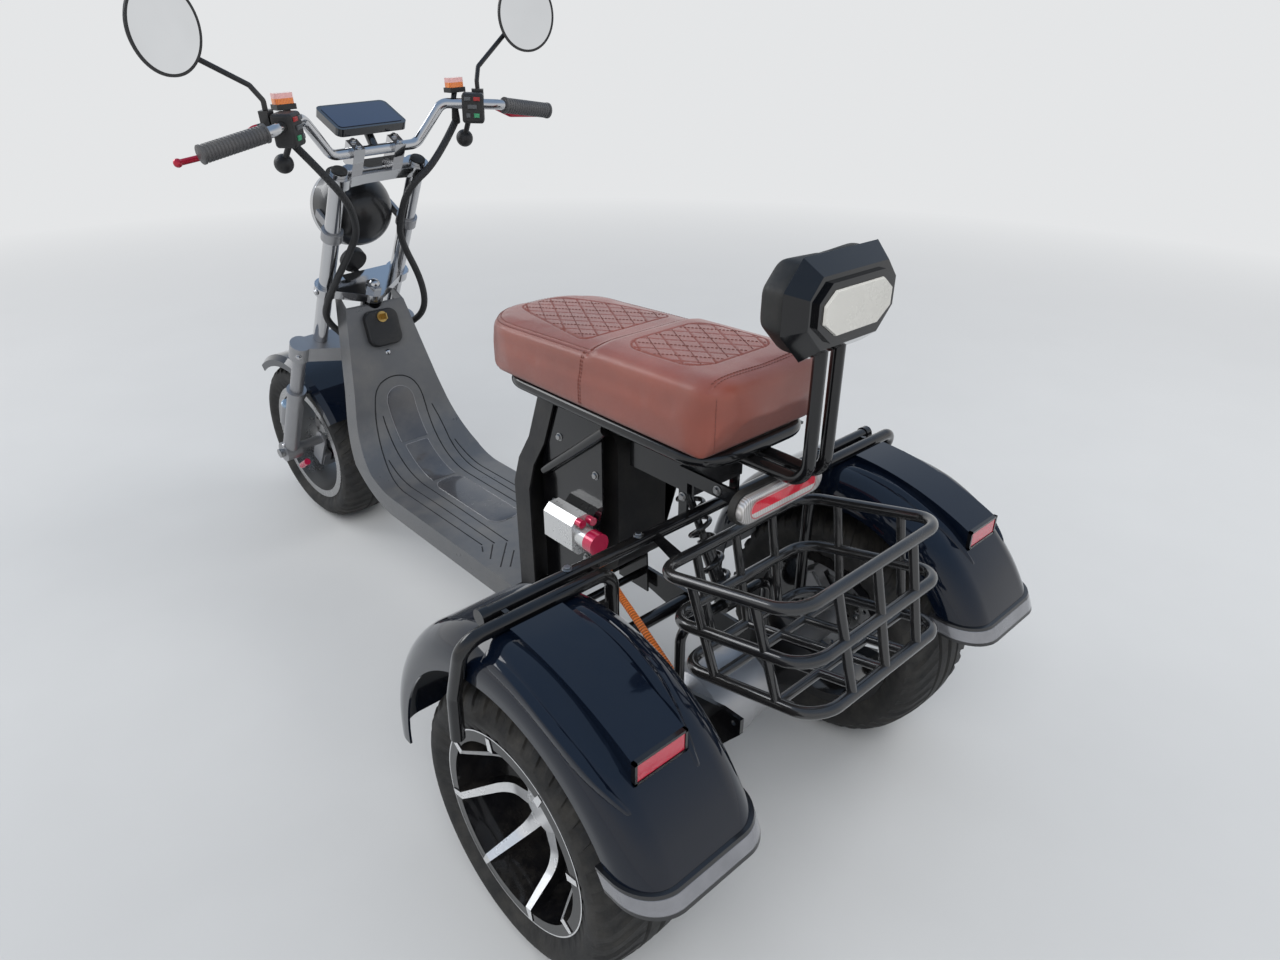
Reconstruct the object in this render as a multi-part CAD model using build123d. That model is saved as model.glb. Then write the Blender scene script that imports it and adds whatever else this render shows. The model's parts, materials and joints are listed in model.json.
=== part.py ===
from build123d import *
import os
from math import atan2, cos, degrees, hypot, radians, sin, sqrt, tan

# Motorized trike: one steered wheel in front, two wheels behind, a step-through deck, a bench seat
# and a tube basket over the rear axle.
# Lengths are millimetres. The vehicle's left is +X, forward is -Y and up is +Z. Places are measured
# from the ground point below the middle of the rear axle, and the finished model is moved onto the
# middle of its own footprint at the end.

# Wheels
tyre_radius = 238.5
tyre_width = 215.0
tyre_shoulder_drop = 9.0
bead_radius = 152.4
rim_lip_radius = 168.0
rim_width = 190.0
rim_wall = 4.4
rim_flange = 5.0
hub_radius = 36.0
hub_recess = 64.0
hub_depth = 71.0
hub_cap_radius = 43.0
hub_cap_height = 5.0
spoke_count = 8
spoke_foot_half = 14.0
spoke_tip_half = 5.0
spoke_knee = 98.0
spoke_bend = 45.0
spoke_depth = 13.0
spoke_rise = 1.5
wheel_turn = 13.7
spindle_radius = 14.0
bearing_gap = 0.1
disc_radius = 85.0
disc_thickness = 4.0
disc_inset = 23.0
disc_slot_gap = 5.0
rear_caliper_turn = 40.0
front_caliper_turn = 148.0
wheelbase = 1527.0
rear_half_track = 371.0

# Steering
rake = 30.5
stem_offset = 48.0
parked_steer = 4.0
upper_fork_half = 97.0
lower_fork_half = 150.0
fork_tube_radius = 18.0
slider_radius = 22.0
top_clamp_height = 905.0
clamp_spacing = 311.0
crown_spacing = 189.0
crown_depth = 46.0
clamp_depth = 24.0
stem_radius = 14.0
head_tube_radius = 25.0

# Deck and neck
floor_height = 315.0
floor_half = 150.0
floor_rear = -432.0
neck_top_half = 67.0
neck_top_behind = 30.0
neck_top_rise = 2.0
neck_lean = 16.6
neck_bend = 200.0
deck_skirt = 50.0
deck_wall = 4.0

# Main frame
spine_radius = 21.0
spine_ahead = 30.0
rail_front = -870.0
rail_radius = 15.0
rail_half = 76.0
seat_tube_radius = 11.0
seat_tube_height = 747.0
seat_tube_half = 118.0
seat_tube_front = -452.0
seat_tube_rear = 44.0
seat_tube_corner = 55.0

# Seat
seat_height = 117.0
seat_height_middle = 109.0
seat_height_front = 94.0
seat_half = 134.0
seat_front = -548.0
seat_rear = 74.0
seat_edge = 66.0
seat_nose = 120.0
seat_undercut = 46.0
seat_lean = 28.0
seat_round = 27.0

# Backrest
post_half = 20.0
post_radius = 10.0
post_y = 150.0
post_reach = 34.0
post_bend = 34.0
backrest_half = 113.0
backrest_rise = 243.0
backrest_height = 136.0
backrest_front = 100.0
backrest_depth = 26.0
backrest_pad = 52.0
cushion_half = 108.0
cushion_round = 24.0
insert_half = 72.0
insert_height = 60.0
insert_depth = 4.0
insert_rim = 9.0
insert_rise = 6.0

# Rear beam, hoops and axle
beam_y = -53.0
beam_rise = 2.0
beam_half = 445.0
beam_radius = 11.0
hoop_y = -23.0
hoop_rise = 1.0
hoop_radius = 11.0
hoop_inner = 241.0
hoop_foot = 405.0
hoop_link_inner = 262.0
hoop_link_outer = 420.0
fender_stay_drop = 57.0
fender_stay_depth = 18.0
axle_tube_radius = 27.0
axle_tube_end_gap = 8.0
gearbox_radius = 72.0
gearbox_width = 120.0
motor_radius = 78.0
motor_arm_gap = 1.0
carrier_half = 110.0
carrier_plate = 8.0
pivot_y = -330.0
pivot_height = 285.0
lug_y = 123.0
lug_height = 316.0
lug_bore = 5.0

# Fenders
arch_centre = (18.0, 250.0)
arch_radius = 335.0
arch_side_radius = 272.0
arch_wall = 4.0
arch_inner = 270.0
arch_outer = 488.0
arch_shoulder = 52.0
arch_rear_cut = 402.0
arch_front_cut = 246.0
trim_height = 30.0
trim_step = 5.0
panel_inner = 348.0
panel_outer = 436.0
panel_rear = 236.0
panel_front_rise = 12.0
panel_middle_y = 120.0
panel_middle_drop = 6.0
panel_rear_drop = 49.0

# Basket
basket_y = 137.0
basket_rise = 12.0
basket_tilt = 13.5
basket_length = 268.0
basket_half = 178.0
basket_taper = 10.0
basket_step = 84.0
basket_corner = 45.0
basket_tube = 9.5
basket_tab_x = 128.0
basket_tab_wall = 6.0

# Seat plate, side plates and riser
seat_plate = 4.0
side_plate_wall = 4.0
pivot_radius = 8.0
riser_depth = 46.0
riser_wall = 4.0
riser_half = 128.0
riser_top_half = 102.0
riser_knee_drop = 157.0
riser_lean = 56.0
battery_half = 58.0
battery_front = -365.0
battery_rear = -215.0
battery_low = 400.0
battery_gap = 47.0
battery_round = 48.0
shelf_reach = (20.0, 70.0)
riser_foot = 28.0
riser_knee_half = 45.0
bracket_reach = 34.0
bracket_drop = 44.0
block_half = 34.0
block_y = (-38.0, 24.0)

# Bright unit on the left side plate
unit_width = 48.0
unit_y = (-322.0, -242.0)
unit_z = (470.0, 546.0)
unit_chamfer = 13.0
canister_radius = 19.0
canister_place = (26.0, 508.0)
canister_reach = 26.0
canister_cap_radius = 21.0
canister_cap_length = 22.0
small_cap_radius = 8.0
small_cap_length = 14.0
small_caps = [
    {"across": 10.0, "height": 534.0},
    {"across": 34.0, "height": 538.0},
]

# Damper
damper_low = (-4.0, 430.0)
damper_top_y = -150.0
damper_drop = 57.0
damper_radius = 24.0
damper_wire = 4.5
damper_pin = 9.0
damper_turns = 7
damper_rod_radius = 7.0
damper_can_length = 90.0
damper_seat_inset = 26.0
damper_seat_depth = 6.0
damper_eye_width = 24.0

# Tail lamp and the stays from the beam to the seat
stay_x = 58.0
stay_wall = 6.0
lamp_y = 86.0
lamp_drop = 67.0
lamp_length = 202.0
lamp_height = 54.0
lamp_depth = 24.0

# Main switch on the neck
lock_width = 86.0
lock_length = 88.0
lock_rise = 18.0
lock_drop = 114.0
lock_offset = 26.0
lock_barrel = 13.0

# Front wheel's axle and fender
front_axle_radius = 8.5
fender_front_angle = 155.0
fender_rear_angle = 62.0

# Handlebar and what it carries
bar_radius = 11.0
bar_riser_half = 50.0
mirror_radius = 76.0
mirror_depth = 20.0
mirror_turn_left = 21.0
mirror_turn_right = 4.0
display_tilt = 24.7
headlamp_behind = 22.0
headlamp_rise = 176.0
headlamp_radius = 86.0

# Looms and sleeve: places on their routes
loom_radius = 8.0
loom_bend = 22.0
loom_turned = 5
loom_left = [
    (200, -1040, 1108),
    (150, -1016, 1036),
    (106, -1020, 972),
    (62, -1090, 900),
    (60, -1138, 850),
    (116, -1184, 730),
    (108, -1238.4, 668),
    (60, -1234, 612),
    (44, -1192, 560),
]
loom_right = [
    (-200, -1040, 1108),
    (-122, -1020, 1030),
    (-54, -1046, 980),
    (-58, -1104, 905),
    (-70, -1140, 850),
    (-118, -1148, 740),
    (-126, -1164, 660),
    (-104, -1230, 612),
    (-56, -1238, 585),
    (-44, -1196, 545),
]
conduit_radius = 7.0
conduit_bend = 18.0
conduit_route = [
    (45, -260, 370),
    (80, -150, 362),
    (80, -40, 288),
]

# Clearance of pieces that touch
fit_gap = 0.3

# Sizes that follow from the ones above
axle_height = tyre_radius
motor_length = carrier_half - damper_pin - motor_arm_gap
arch_top = arch_centre[1] + arch_radius
panel_rear_top = arch_top - panel_rear_drop
crown_at_hoop = arch_centre[1] + sqrt(arch_radius**2 - (hoop_y - arch_centre[0]) ** 2)
hoop_height = crown_at_hoop + hoop_radius + hoop_rise
hoop_outer = arch_outer + hoop_radius + fit_gap
beam_height = round(hoop_height) + beam_rise
basket_height = beam_height + basket_rise
rail_height = floor_height - deck_wall - fit_gap - rail_radius
upright_y = floor_rear + riser_depth
plate_inner = rail_half + rail_radius + fit_gap
seat_plate_low = seat_tube_height - seat_plate / 2
riser_knee = seat_tube_height - riser_knee_drop
battery_high = seat_tube_height - battery_gap
damper_high = (damper_top_y, seat_tube_height - damper_drop)
lamp_z = seat_tube_height - lamp_drop
backrest_centre = seat_tube_height + backrest_rise
seat_bottom = seat_tube_height + seat_tube_radius + fit_gap
post_low = seat_tube_height - seat_tube_radius - fit_gap - post_radius
backrest_low = backrest_centre - backrest_height / 2
fork_bore = fork_tube_radius + fit_gap
rear_axle = (0, 0, axle_height)
front_axle = (0, -wheelbase, axle_height)
mid_clamp_height = top_clamp_height - clamp_spacing
crown_height = mid_clamp_height - crown_spacing


def up_fork(height):
    """The (Y, Z) place this high up the fork, to the nearest millimetre."""
    return round(height * sin(radians(rake)) - wheelbase), round(height * cos(radians(rake)) + axle_height)


def at_top_clamp(x, y, z):
    """A place measured from the middle of the top clamp, before the bars are turned."""
    clamp_y, clamp_z = up_fork(top_clamp_height)
    return x, clamp_y + y, clamp_z + z


# Places on the left half of the handlebar and of what it carries
bar_tip = at_top_clamp(403, 106, 96)
bar_bend = at_top_clamp(262, 106, 121)
bar_knee = at_top_clamp(166, 28, 128)
bar_foot = at_top_clamp(104, 2, 48)
pod_place = at_top_clamp(220, 25, 49)
indicator_place = at_top_clamp(201, 34, 164)
mirror_place = at_top_clamp(397, 67, 295)
stalk_knee = at_top_clamp(264, 44, 196)
stalk_top = at_top_clamp(346, 49, 254)
display_place = at_top_clamp(0, -34, 109)

# Places that follow the middle clamp
mid_clamp_y, mid_clamp_z = up_fork(mid_clamp_height)
neck_top = (mid_clamp_y + neck_top_behind, mid_clamp_z + neck_top_rise)
headlamp_place = (mid_clamp_y + headlamp_behind, mid_clamp_z + headlamp_rise)


def plane_across(centre):
    """The drawing plane for a profile of (X, radius) round an axle through this centre."""
    return Plane(origin=centre, x_dir=(1, 0, 0), z_dir=(0, -1, 0))


def turned(profile, centre):
    """A closed (X, radius) profile turned all the way round the axle."""
    face = plane_across(centre) * make_face(Polyline(*profile, close=True))
    return revolve(face, axis=Axis(centre, (1, 0, 0)))


def side_face(points):
    """A closed outline of (Y, Z) points in the middle plane."""
    return Plane.YZ * make_face(Polyline(*points, close=True))


def rod(start, end, radius):
    """A straight round bar between two points."""
    run = Vector(*end) - Vector(*start)
    return Solid.make_cylinder(radius, run.length, Plane(origin=start, z_dir=run))


def widest_bend(points):
    """The largest bend radius that every run between the points has room for."""
    runs = [Vector(*end) - Vector(*start) for start, end in zip(points, points[1:])]
    turns = [tan(radians(before.get_angle(after)) / 2) for before, after in zip(runs, runs[1:])]
    return min(run.length / (a + b) for run, a, b in zip(runs, [0, *turns], [*turns, 0]))


def bent_tube(points, radius, bend, closed=False):
    """A round tube along straight runs with bends of one radius."""
    if not closed:
        bend = min(bend, 0.999 * widest_bend(points))
    path = FilletPolyline(*points, radius=bend, close=closed)
    start = Plane(origin=path @ 0, z_dir=path % 0)
    return sweep(start * Circle(radius), path=path)


def box(x, y, z):
    """A block between three (low, high) pairs."""
    size = (x[1] - x[0], y[1] - y[0], z[1] - z[0])
    middle = (sum(x) / 2, sum(y) / 2, sum(z) / 2)
    return Location(middle) * Box(*size)


def both(shape):
    """A piece and its mirror image on the vehicle's other side."""
    return Compound([shape, mirror(shape, about=Plane.YZ)])


fork_frame = Plane(
    origin=front_axle,
    x_dir=(1, 0, 0),
    z_dir=(0, sin(radians(rake)), cos(radians(rake))),
)


def on_fork(x, y, z):
    """A point given across, behind and up along the fork, as a place on the vehicle."""
    return fork_frame.from_local_coords(Vector(x, y, z))


steer_axis = Axis(on_fork(0, stem_offset, 0), fork_frame.z_dir)


# Wheel: the tyre is a ring on the bead seat, the rim has a deep outer dish.
def tyre(centre):
    half = tyre_width / 2
    profile = [
        (-rim_width / 2 + rim_flange, bead_radius),
        (-rim_width / 2 + rim_flange, rim_lip_radius),
        (-half, bead_radius + 46),
        (-half + 3, tyre_radius - 26),
        (-half + 22, tyre_radius - tyre_shoulder_drop),
        (-half * 0.4, tyre_radius),
    ]
    profile = profile + [(-x, r) for x, r in reversed(profile)]
    return turned(profile, centre)


def spoke():
    """One blade: flat near the hub, then bent out to the lip, narrower at its tip."""
    face = rim_width / 2 - hub_recess
    lip = rim_width / 2 + spoke_rise
    foot, tip = hub_radius - 6, rim_lip_radius - 4
    barrel = bead_radius - 1
    side = [
        (face - spoke_depth, foot),
        (face, foot),
        (face, spoke_knee),
        (lip, barrel - 10),
        (lip, tip),
        (lip - 2 * spoke_rise, tip),
        (lip - 2 * spoke_rise, barrel),
        (lip - 2 * spoke_depth, barrel),
        (face - spoke_depth, spoke_knee + spoke_depth),
    ]
    profile = make_face(Polyline(*side, close=True))
    for knee in ((face, spoke_knee), (face - spoke_depth, spoke_knee + spoke_depth)):
        corner = profile.vertices().sort_by_distance(Vector(*knee, 0))[0]
        profile = fillet(corner, spoke_bend)
    blade = extrude(Plane.XZ * profile, spoke_foot_half, both=True)
    plan = [(-spoke_foot_half, foot), (-spoke_tip_half, tip)]
    plan += [(spoke_tip_half, tip), (spoke_foot_half, foot)]
    return blade & extrude(side_face(plan), 2 * rim_width, both=True)


def rim(centre, side, capped):
    """side is 1 where the dish faces +X and -1 where it faces -X."""
    half = rim_width / 2
    barrel = [
        (-half, bead_radius - rim_wall),
        (-half, rim_lip_radius),
        (-half + rim_flange, rim_lip_radius),
        (-half + rim_flange, bead_radius),
        (half - rim_flange, bead_radius),
        (half - rim_flange, rim_lip_radius),
        (half, rim_lip_radius),
        (half, bead_radius - rim_wall),
    ]
    face = half - hub_recess
    hub = [
        (face - hub_depth, spindle_radius + bearing_gap),
        (face - hub_depth, hub_radius),
        (face, hub_radius),
        (face, spindle_radius + bearing_gap),
    ]
    wheel = turned(barrel, (0, 0, 0)) + turned(hub, (0, 0, 0))
    blade = spoke()
    for index in range(spoke_count):
        wheel += Rot(index * 360 / spoke_count, 0, 0) * blade
    if capped:
        wheel += hub_cap(face)
    if side < 0:
        wheel = mirror(wheel, about=Plane.YZ)
    return Location(centre) * Rot(wheel_turn, 0, 0) * wheel


def hub_cap(face):
    """The octagonal cap over the hub."""
    cap = Plane(origin=(face - 1, 0, 0), z_dir=(1, 0, 0)) * extrude(
        RegularPolygon(hub_cap_radius, 8), hub_cap_height + 1
    )
    return chamfer(cap.faces().sort_by(Axis.X)[-1].edges(), hub_cap_height / 2)


def brake_disc(centre, side):
    """A drilled disc round the inboard end of the hub."""
    inner = -side * disc_inset
    outer = -side * (disc_inset + disc_thickness)
    low, high = min(inner, outer), max(inner, outer)
    ring = turned(
        [
            (low, hub_radius + fit_gap),
            (low, disc_radius),
            (high, disc_radius),
            (high, hub_radius + fit_gap),
        ],
        (0, 0, 0),
    )
    holes = [
        Rot(index * 30, 0, 0) * rod((low - 1, 0, reach), (high + 1, 0, reach), 5)
        for index in range(12)
        for reach in (disc_radius - 12, disc_radius - 29)
    ]
    return Location(centre) * (ring - holes)


def wheel_pieces(name, centre, side, capped):
    """The tyre, rim and disc of one wheel."""
    return {
        name + "_tyre": tyre(centre),
        name + "_rim": rim(centre, side, capped),
        name + "_disc": brake_disc(centre, side),
    }


# Deck: one moulding that is the floor and the neck shield, open below.
def deck_side(inset, depth):
    """The (Y, Z) outline of the deck, set in by a wall on top and reaching depth below its top."""
    lean = radians(neck_lean)
    along = (sin(lean), -cos(lean))
    ahead = (-cos(lean), -sin(lean))
    top_y = neck_top[0] + ahead[0] * inset
    top_z = neck_top[1] + ahead[1] * inset
    floor_z = floor_height - inset
    run = (top_z - floor_z) / cos(lean)
    corner = (top_y + along[0] * run, floor_z)
    low_top = (neck_top[0] + ahead[0] * depth, neck_top[1] + ahead[1] * depth)
    low_z = floor_height - depth
    low_run = (low_top[1] - low_z) / cos(lean)
    low_corner = (low_top[0] + along[0] * low_run, low_z)
    rear = floor_rear if inset == 0 else floor_rear + 1
    points = [(top_y, top_z), corner, (rear, floor_z), (rear, low_z), low_corner, low_top]
    face = make_face(Polyline(*points, close=True))
    for place, bend in ((corner, neck_bend + inset), (low_corner, neck_bend + depth)):
        near = face.vertices().sort_by_distance(Vector(*place, 0))[0]
        face = fillet(near, bend)
    return Plane.YZ * face


def deck_front(inset):
    """The outline of the deck seen from the front: wide at the floor, narrow at the neck's top."""
    outline = [
        (neck_top_half - inset, neck_top[1] + 60),
        (neck_top_half - inset, neck_top[1]),
        (floor_half * 0.76 - inset, 500),
        (floor_half - inset, 340),
        (floor_half - inset, 100),
    ]
    outline = outline + [(-x, z) for x, z in reversed(outline)]
    return extrude(Plane.XZ * make_face(Polyline(*outline, close=True)), 3000, both=True)


def deck():
    outer = extrude(deck_side(0, deck_skirt), floor_half, both=True) & deck_front(0)
    inner = extrude(deck_side(deck_wall, deck_skirt + 20), floor_half, both=True) & deck_front(deck_wall)
    clamp_room = fork_frame * Location((0, 0, head_high - 4 + 100)) * Box(400, 400, 200)
    head_low_end = on_fork(0, stem_offset, head_low)
    head_high_end = on_fork(0, stem_offset, head_high + 40)
    return outer - inner - clamp_room - rod(head_low_end, head_high_end, head_tube_radius + fit_gap)


# Frame
def on_neck(drop, ahead):
    """A (Y, Z) place on the neck: drop down its slope from the top and ahead of its outer face."""
    lean = radians(neck_lean)
    y = neck_top[0] + sin(lean) * drop - cos(lean) * ahead
    z = neck_top[1] - cos(lean) * drop - sin(lean) * ahead
    return y, z


head_low = crown_height + crown_depth / 2 + 6
head_high = mid_clamp_height - clamp_depth / 2 - 6


def main_frame():
    """The head tube, the spine behind it, the two rails under the floor and the seat uprights."""
    head = rod(on_fork(0, stem_offset, head_low), on_fork(0, stem_offset, head_high), head_tube_radius)
    bore_low, bore_high = on_fork(0, stem_offset, head_low - 1), on_fork(0, stem_offset, head_high + 1)
    bore = rod(bore_low, bore_high, stem_radius + bearing_gap)
    join = on_fork(0, stem_offset + 14, head_low + 60)
    spine_height = floor_height - deck_wall - 1 - spine_radius
    drop = (neck_top[1] - spine_height - spine_ahead * sin(radians(neck_lean))) / cos(radians(neck_lean))
    points = [tuple(join), (0, *on_neck(200, spine_ahead)), (0, *on_neck(drop, spine_ahead))]
    points.append((0, rail_front + 20, spine_height))
    spine = bent_tube(points, spine_radius, neck_bend + spine_ahead - 2)
    rail = bent_tube(
        [
            (0, rail_front, rail_height),
            (rail_half, rail_front, rail_height),
            (rail_half, upright_y, rail_height),
            (rail_half, upright_y, riser_knee - 30),
            (rail_half, upright_y + riser_lean, seat_plate_low - 40),
            (rail_half, upright_y + riser_lean, seat_plate_low - fit_gap),
        ],
        rail_radius,
        32,
    )
    frame = (head + spine + rail + mirror(rail, about=Plane.YZ)) - bore
    for y in (-740, -600):
        frame += rod((-rail_half, y, rail_height), (rail_half, y, rail_height), 10)
    return frame


# Seat frame, riser, side plates and battery
def seat_frame():
    """The tube loop under the seat, its plate and the block that takes the backrest's posts."""
    half, front, rear = seat_tube_half, seat_tube_front, seat_tube_rear
    corners = [(half, front), (half, rear), (-half, rear), (-half, front)]
    corners = [(x, y, seat_tube_height) for x, y in corners]
    loop = bent_tube(corners, seat_tube_radius, seat_tube_corner, closed=True)
    reach = half - seat_tube_radius / 2
    plate_y = (front + seat_tube_corner / 3, rear - seat_tube_radius / 2)
    plate = box((-reach, reach), plate_y, (seat_plate_low, seat_plate_low + seat_plate))
    block = box((-block_half, block_half), block_y, (post_low, seat_plate_low + 1))
    frame = loop + plate + block
    for side in (-1, 1):
        x = side * post_half
        start = (x, block_y[0] + 4, post_low)
        points = [start, (x, post_y, post_low), (x, post_y, backrest_low + post_reach)]
        frame += bent_tube(points, post_radius, post_bend)
    bracket_y = (damper_high[0] - bracket_reach, beam_y + 18)
    bracket_z = (damper_high[1] - bracket_drop, seat_plate_low + 1)
    wall = seat_plate
    bracket = box((-stay_x, stay_x), bracket_y, bracket_z)
    hollow_y = (bracket_y[0] + wall, bracket_y[1] - wall)
    bracket -= box((wall - stay_x, stay_x - wall), hollow_y, (bracket_z[0] - 1, seat_plate_low))
    frame += bracket + rod((-stay_x, *damper_high), (stay_x, *damper_high), damper_pin)
    return frame + side_plates()


def seat():
    """The bench cushion, higher to the rear, rounded at the nose and with its ends leaning out."""
    half, front, rear = seat_half, seat_front, seat_rear
    plan = make_face(Polyline((-half, rear), (half, rear), (half, front), (-half, front), close=True))
    plan = fillet(plan.vertices().sort_by(Axis.Y)[:2], seat_nose)
    plan = fillet(plan.vertices().sort_by(Axis.Y)[-2:], seat_tube_corner)
    low = seat_bottom
    top_rear = (rear - 2, low + seat_height)
    top_middle = ((front + rear) / 2, low + seat_height_middle)
    top_front = (front + 2, low + seat_height_front)
    ends = [top_rear, (rear, low + seat_edge), (rear - seat_lean, low)]
    ends += [(front + seat_undercut, low), (front, low + seat_edge), top_front]
    side = make_face([*Polyline(*ends).edges(), ThreePointArc(top_front, top_middle, top_rear)])
    cushion = extrude(Location((0, 0, low)) * plan, 2 * seat_height)
    cushion = cushion & extrude(Plane.YZ * side, 2 * half, both=True)
    top = cushion.faces().sort_by(Axis.Z)[-1]
    return fillet(top.outer_wire().edges(), seat_round)


def riser():
    """The cover in front of the battery: open behind, its top leaning back under the seat."""
    high = seat_tube_height - seat_tube_radius - fit_gap
    low = rail_height - riser_foot
    return riser_block(0, low, high) - riser_block(riser_wall, low, high + 2 * riser_wall) - rail_holes()


def riser_block(inset, low, high):
    """The riser's outline from the front and from the side, crossed, and set in by a wall."""
    wide, narrow = riser_half - inset, riser_top_half - inset
    low, high = low + inset, high - inset
    outline = [(wide, low), (wide, riser_knee - riser_knee_half)]
    outline += [(narrow, riser_knee + riser_knee_half), (narrow, high)]
    outline += [(-x, z) for x, z in reversed(outline)]
    front = floor_rear + fit_gap + inset
    rear = floor_rear + riser_depth + 3 * inset
    side = [(front, low), (front, riser_knee), (front + riser_lean, high), (rear + riser_lean, high)]
    side += [(rear, riser_knee), (rear, low)]
    from_front = extrude(Plane.XZ * make_face(Polyline(*outline, close=True)), 1000, both=True)
    return from_front & extrude(side_face(side), 2 * riser_half, both=True)


def rail_holes():
    """The rails where they pass the riser's foot, with clearance."""
    ends = [(x, floor_rear - 1, rail_height) for x in (-rail_half, rail_half)]
    return [rod(end, (end[0], upright_y, rail_height), rail_radius + fit_gap) for end in ends]


def side_plates():
    """The two steel plates with the battery's shelf between them and the axle carrier's pivot."""
    front = floor_rear + riser_depth + 3 * fit_gap
    lean = front + riser_lean
    high = seat_plate_low + 1
    rear = battery_rear
    outline = [(front, pivot_height - 26), (front, riser_knee), (lean, high), (rear, high)]
    outline += [(rear, 560), (rear - 40, 420)]
    outline += [(pivot_y + 30, 350), (pivot_y + 34, pivot_height - 26)]
    plate = extrude(side_face(outline), side_plate_wall)
    start, end = (-1, pivot_y, pivot_height), (side_plate_wall + 1, pivot_y, pivot_height)
    plate -= rod(start, end, pivot_radius + fit_gap)
    plate = Location((plate_inner, 0, 0)) * plate
    shelf_y = (battery_front + shelf_reach[0], battery_rear - shelf_reach[1])
    shelf_z = (battery_low - fit_gap - side_plate_wall, battery_low - fit_gap)
    shelf = box((-plate_inner - 1, plate_inner + 1), shelf_y, shelf_z)
    return plate + mirror(plate, about=Plane.YZ) + shelf


def battery_box():
    """The battery box between the side plates, rounded at its rear."""
    case = box((-battery_half, battery_half), (battery_front, battery_rear), (battery_low, battery_high))
    rear = case.edges().filter_by(Axis.X).sort_by(Axis.Y)[-2:]
    return fillet(rear, battery_round)


# Rear axle
def axle_housing():
    """The tube across the rear axle, the gearbox on it and the two spindles."""
    hub_end = rear_half_track + rim_width / 2 - hub_recess - hub_depth
    end = hub_end - axle_tube_end_gap
    tip = hub_end + hub_depth - 4
    profile = [
        (-tip, 0),
        (-tip, spindle_radius),
        (-end, spindle_radius),
        (-end, axle_tube_radius),
        (-gearbox_width / 2 - 40, axle_tube_radius),
        (-gearbox_width / 2 - 14, gearbox_radius - 16),
        (-gearbox_width / 2 + 10, gearbox_radius),
        (0, gearbox_radius),
        (0, axle_tube_radius),
        (end, axle_tube_radius),
        (end, spindle_radius),
        (tip, spindle_radius),
        (tip, 0),
    ]
    return turned(profile, rear_axle)


def drive_motor():
    """The motor, one plain drum round the axle tube beside the gearbox."""
    inner = axle_tube_radius + fit_gap
    end = motor_length
    profile = [
        (fit_gap, inner),
        (fit_gap, motor_radius),
        (end - 20, motor_radius),
        (end, motor_radius - 16),
        (end, inner),
    ]
    return turned(profile, rear_axle)


def axle_carrier():
    """The swinging arms from the pivot to the axle, with the tail lugs."""
    arm = [
        (pivot_y - 20, pivot_height - 18),
        (pivot_y - 20, pivot_height + 18),
        (-60, 300),
        (lug_y - 24, lug_height + 15),
        (lug_y + 15, lug_height + 15),
        (lug_y + 15, lug_height - 15),
        (58, axle_height - 38),
        (-58, axle_height - 38),
    ]
    low, high = carrier_half - carrier_plate / 2, carrier_half + carrier_plate / 2
    plate = Location((low, 0, 0)) * extrude(side_face(arm), carrier_plate)
    plate -= rod((low - 1, 0, axle_height), (high + 1, 0, axle_height), axle_tube_radius + fit_gap)
    plate -= rod((low - 1, lug_y, lug_height), (high + 1, lug_y, lug_height), lug_bore)
    carrier = plate + mirror(plate, about=Plane.YZ)
    carrier += rod((-high, pivot_y, pivot_height), (high, pivot_y, pivot_height), pivot_radius)
    carrier += rod((-carrier_half, -200, 282), (carrier_half, -200, 282), 14)
    y, z = damper_low
    corners = [(carrier_half, y, 270), (carrier_half, y, z)]
    corners += [(-carrier_half, y, z), (-carrier_half, y, 270)]
    carrier += bent_tube(corners, damper_pin, 30)
    carrier -= rod((-high - 9, 0, axle_height), (high + 9, 0, axle_height), axle_tube_radius + fit_gap)
    return carrier


def caliper(bracket_bore, bracket_ring):
    """A caliper over the disc of a wheel whose dish faces +X, with its plate round the axle.

    It is drawn straight above an axle through the origin.
    """
    inner = -disc_inset - disc_thickness
    outer = -disc_inset
    body = box((inner - 26, outer + 20), (-26, 26), (disc_radius - 30, disc_radius + 24))
    body = fillet(body.edges().filter_by(Axis.Y), 9)
    slot = (inner - disc_slot_gap, outer + disc_slot_gap)
    body -= box(slot, (-30, 30), (0, disc_radius + disc_slot_gap))
    low, high = inner - 32, inner - 26
    plate = box((low, high), (-22, 22), (0, disc_radius + 16))
    plate += rod((low, 0, 0), (high, 0, 0), bracket_ring)
    return body + plate - rod((low - 1, 0, 0), (high + 1, 0, 0), bracket_bore)


def rear_calipers():
    body = Rot(rear_caliper_turn, 0, 0) * caliper(axle_tube_radius + fit_gap, axle_tube_radius + 15)
    return both(Location((rear_half_track, 0, axle_height)) * body)


def front_caliper():
    """The front caliper, held by a plate on the axle and a spacer to the left leg."""
    bore = front_axle_radius + fit_gap
    body = Rot(front_caliper_turn, 0, 0) * caliper(bore, bore + 14)
    start = -disc_inset - disc_thickness - 30
    end = slider_radius + fit_gap - lower_fork_half
    body += rod((start, 0, 0), (end, 0, 0), bore + 4) - rod((start, 0, 0), (end, 0, 0), bore)
    return Location(front_axle) * mirror(body, about=Plane.YZ)


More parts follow.
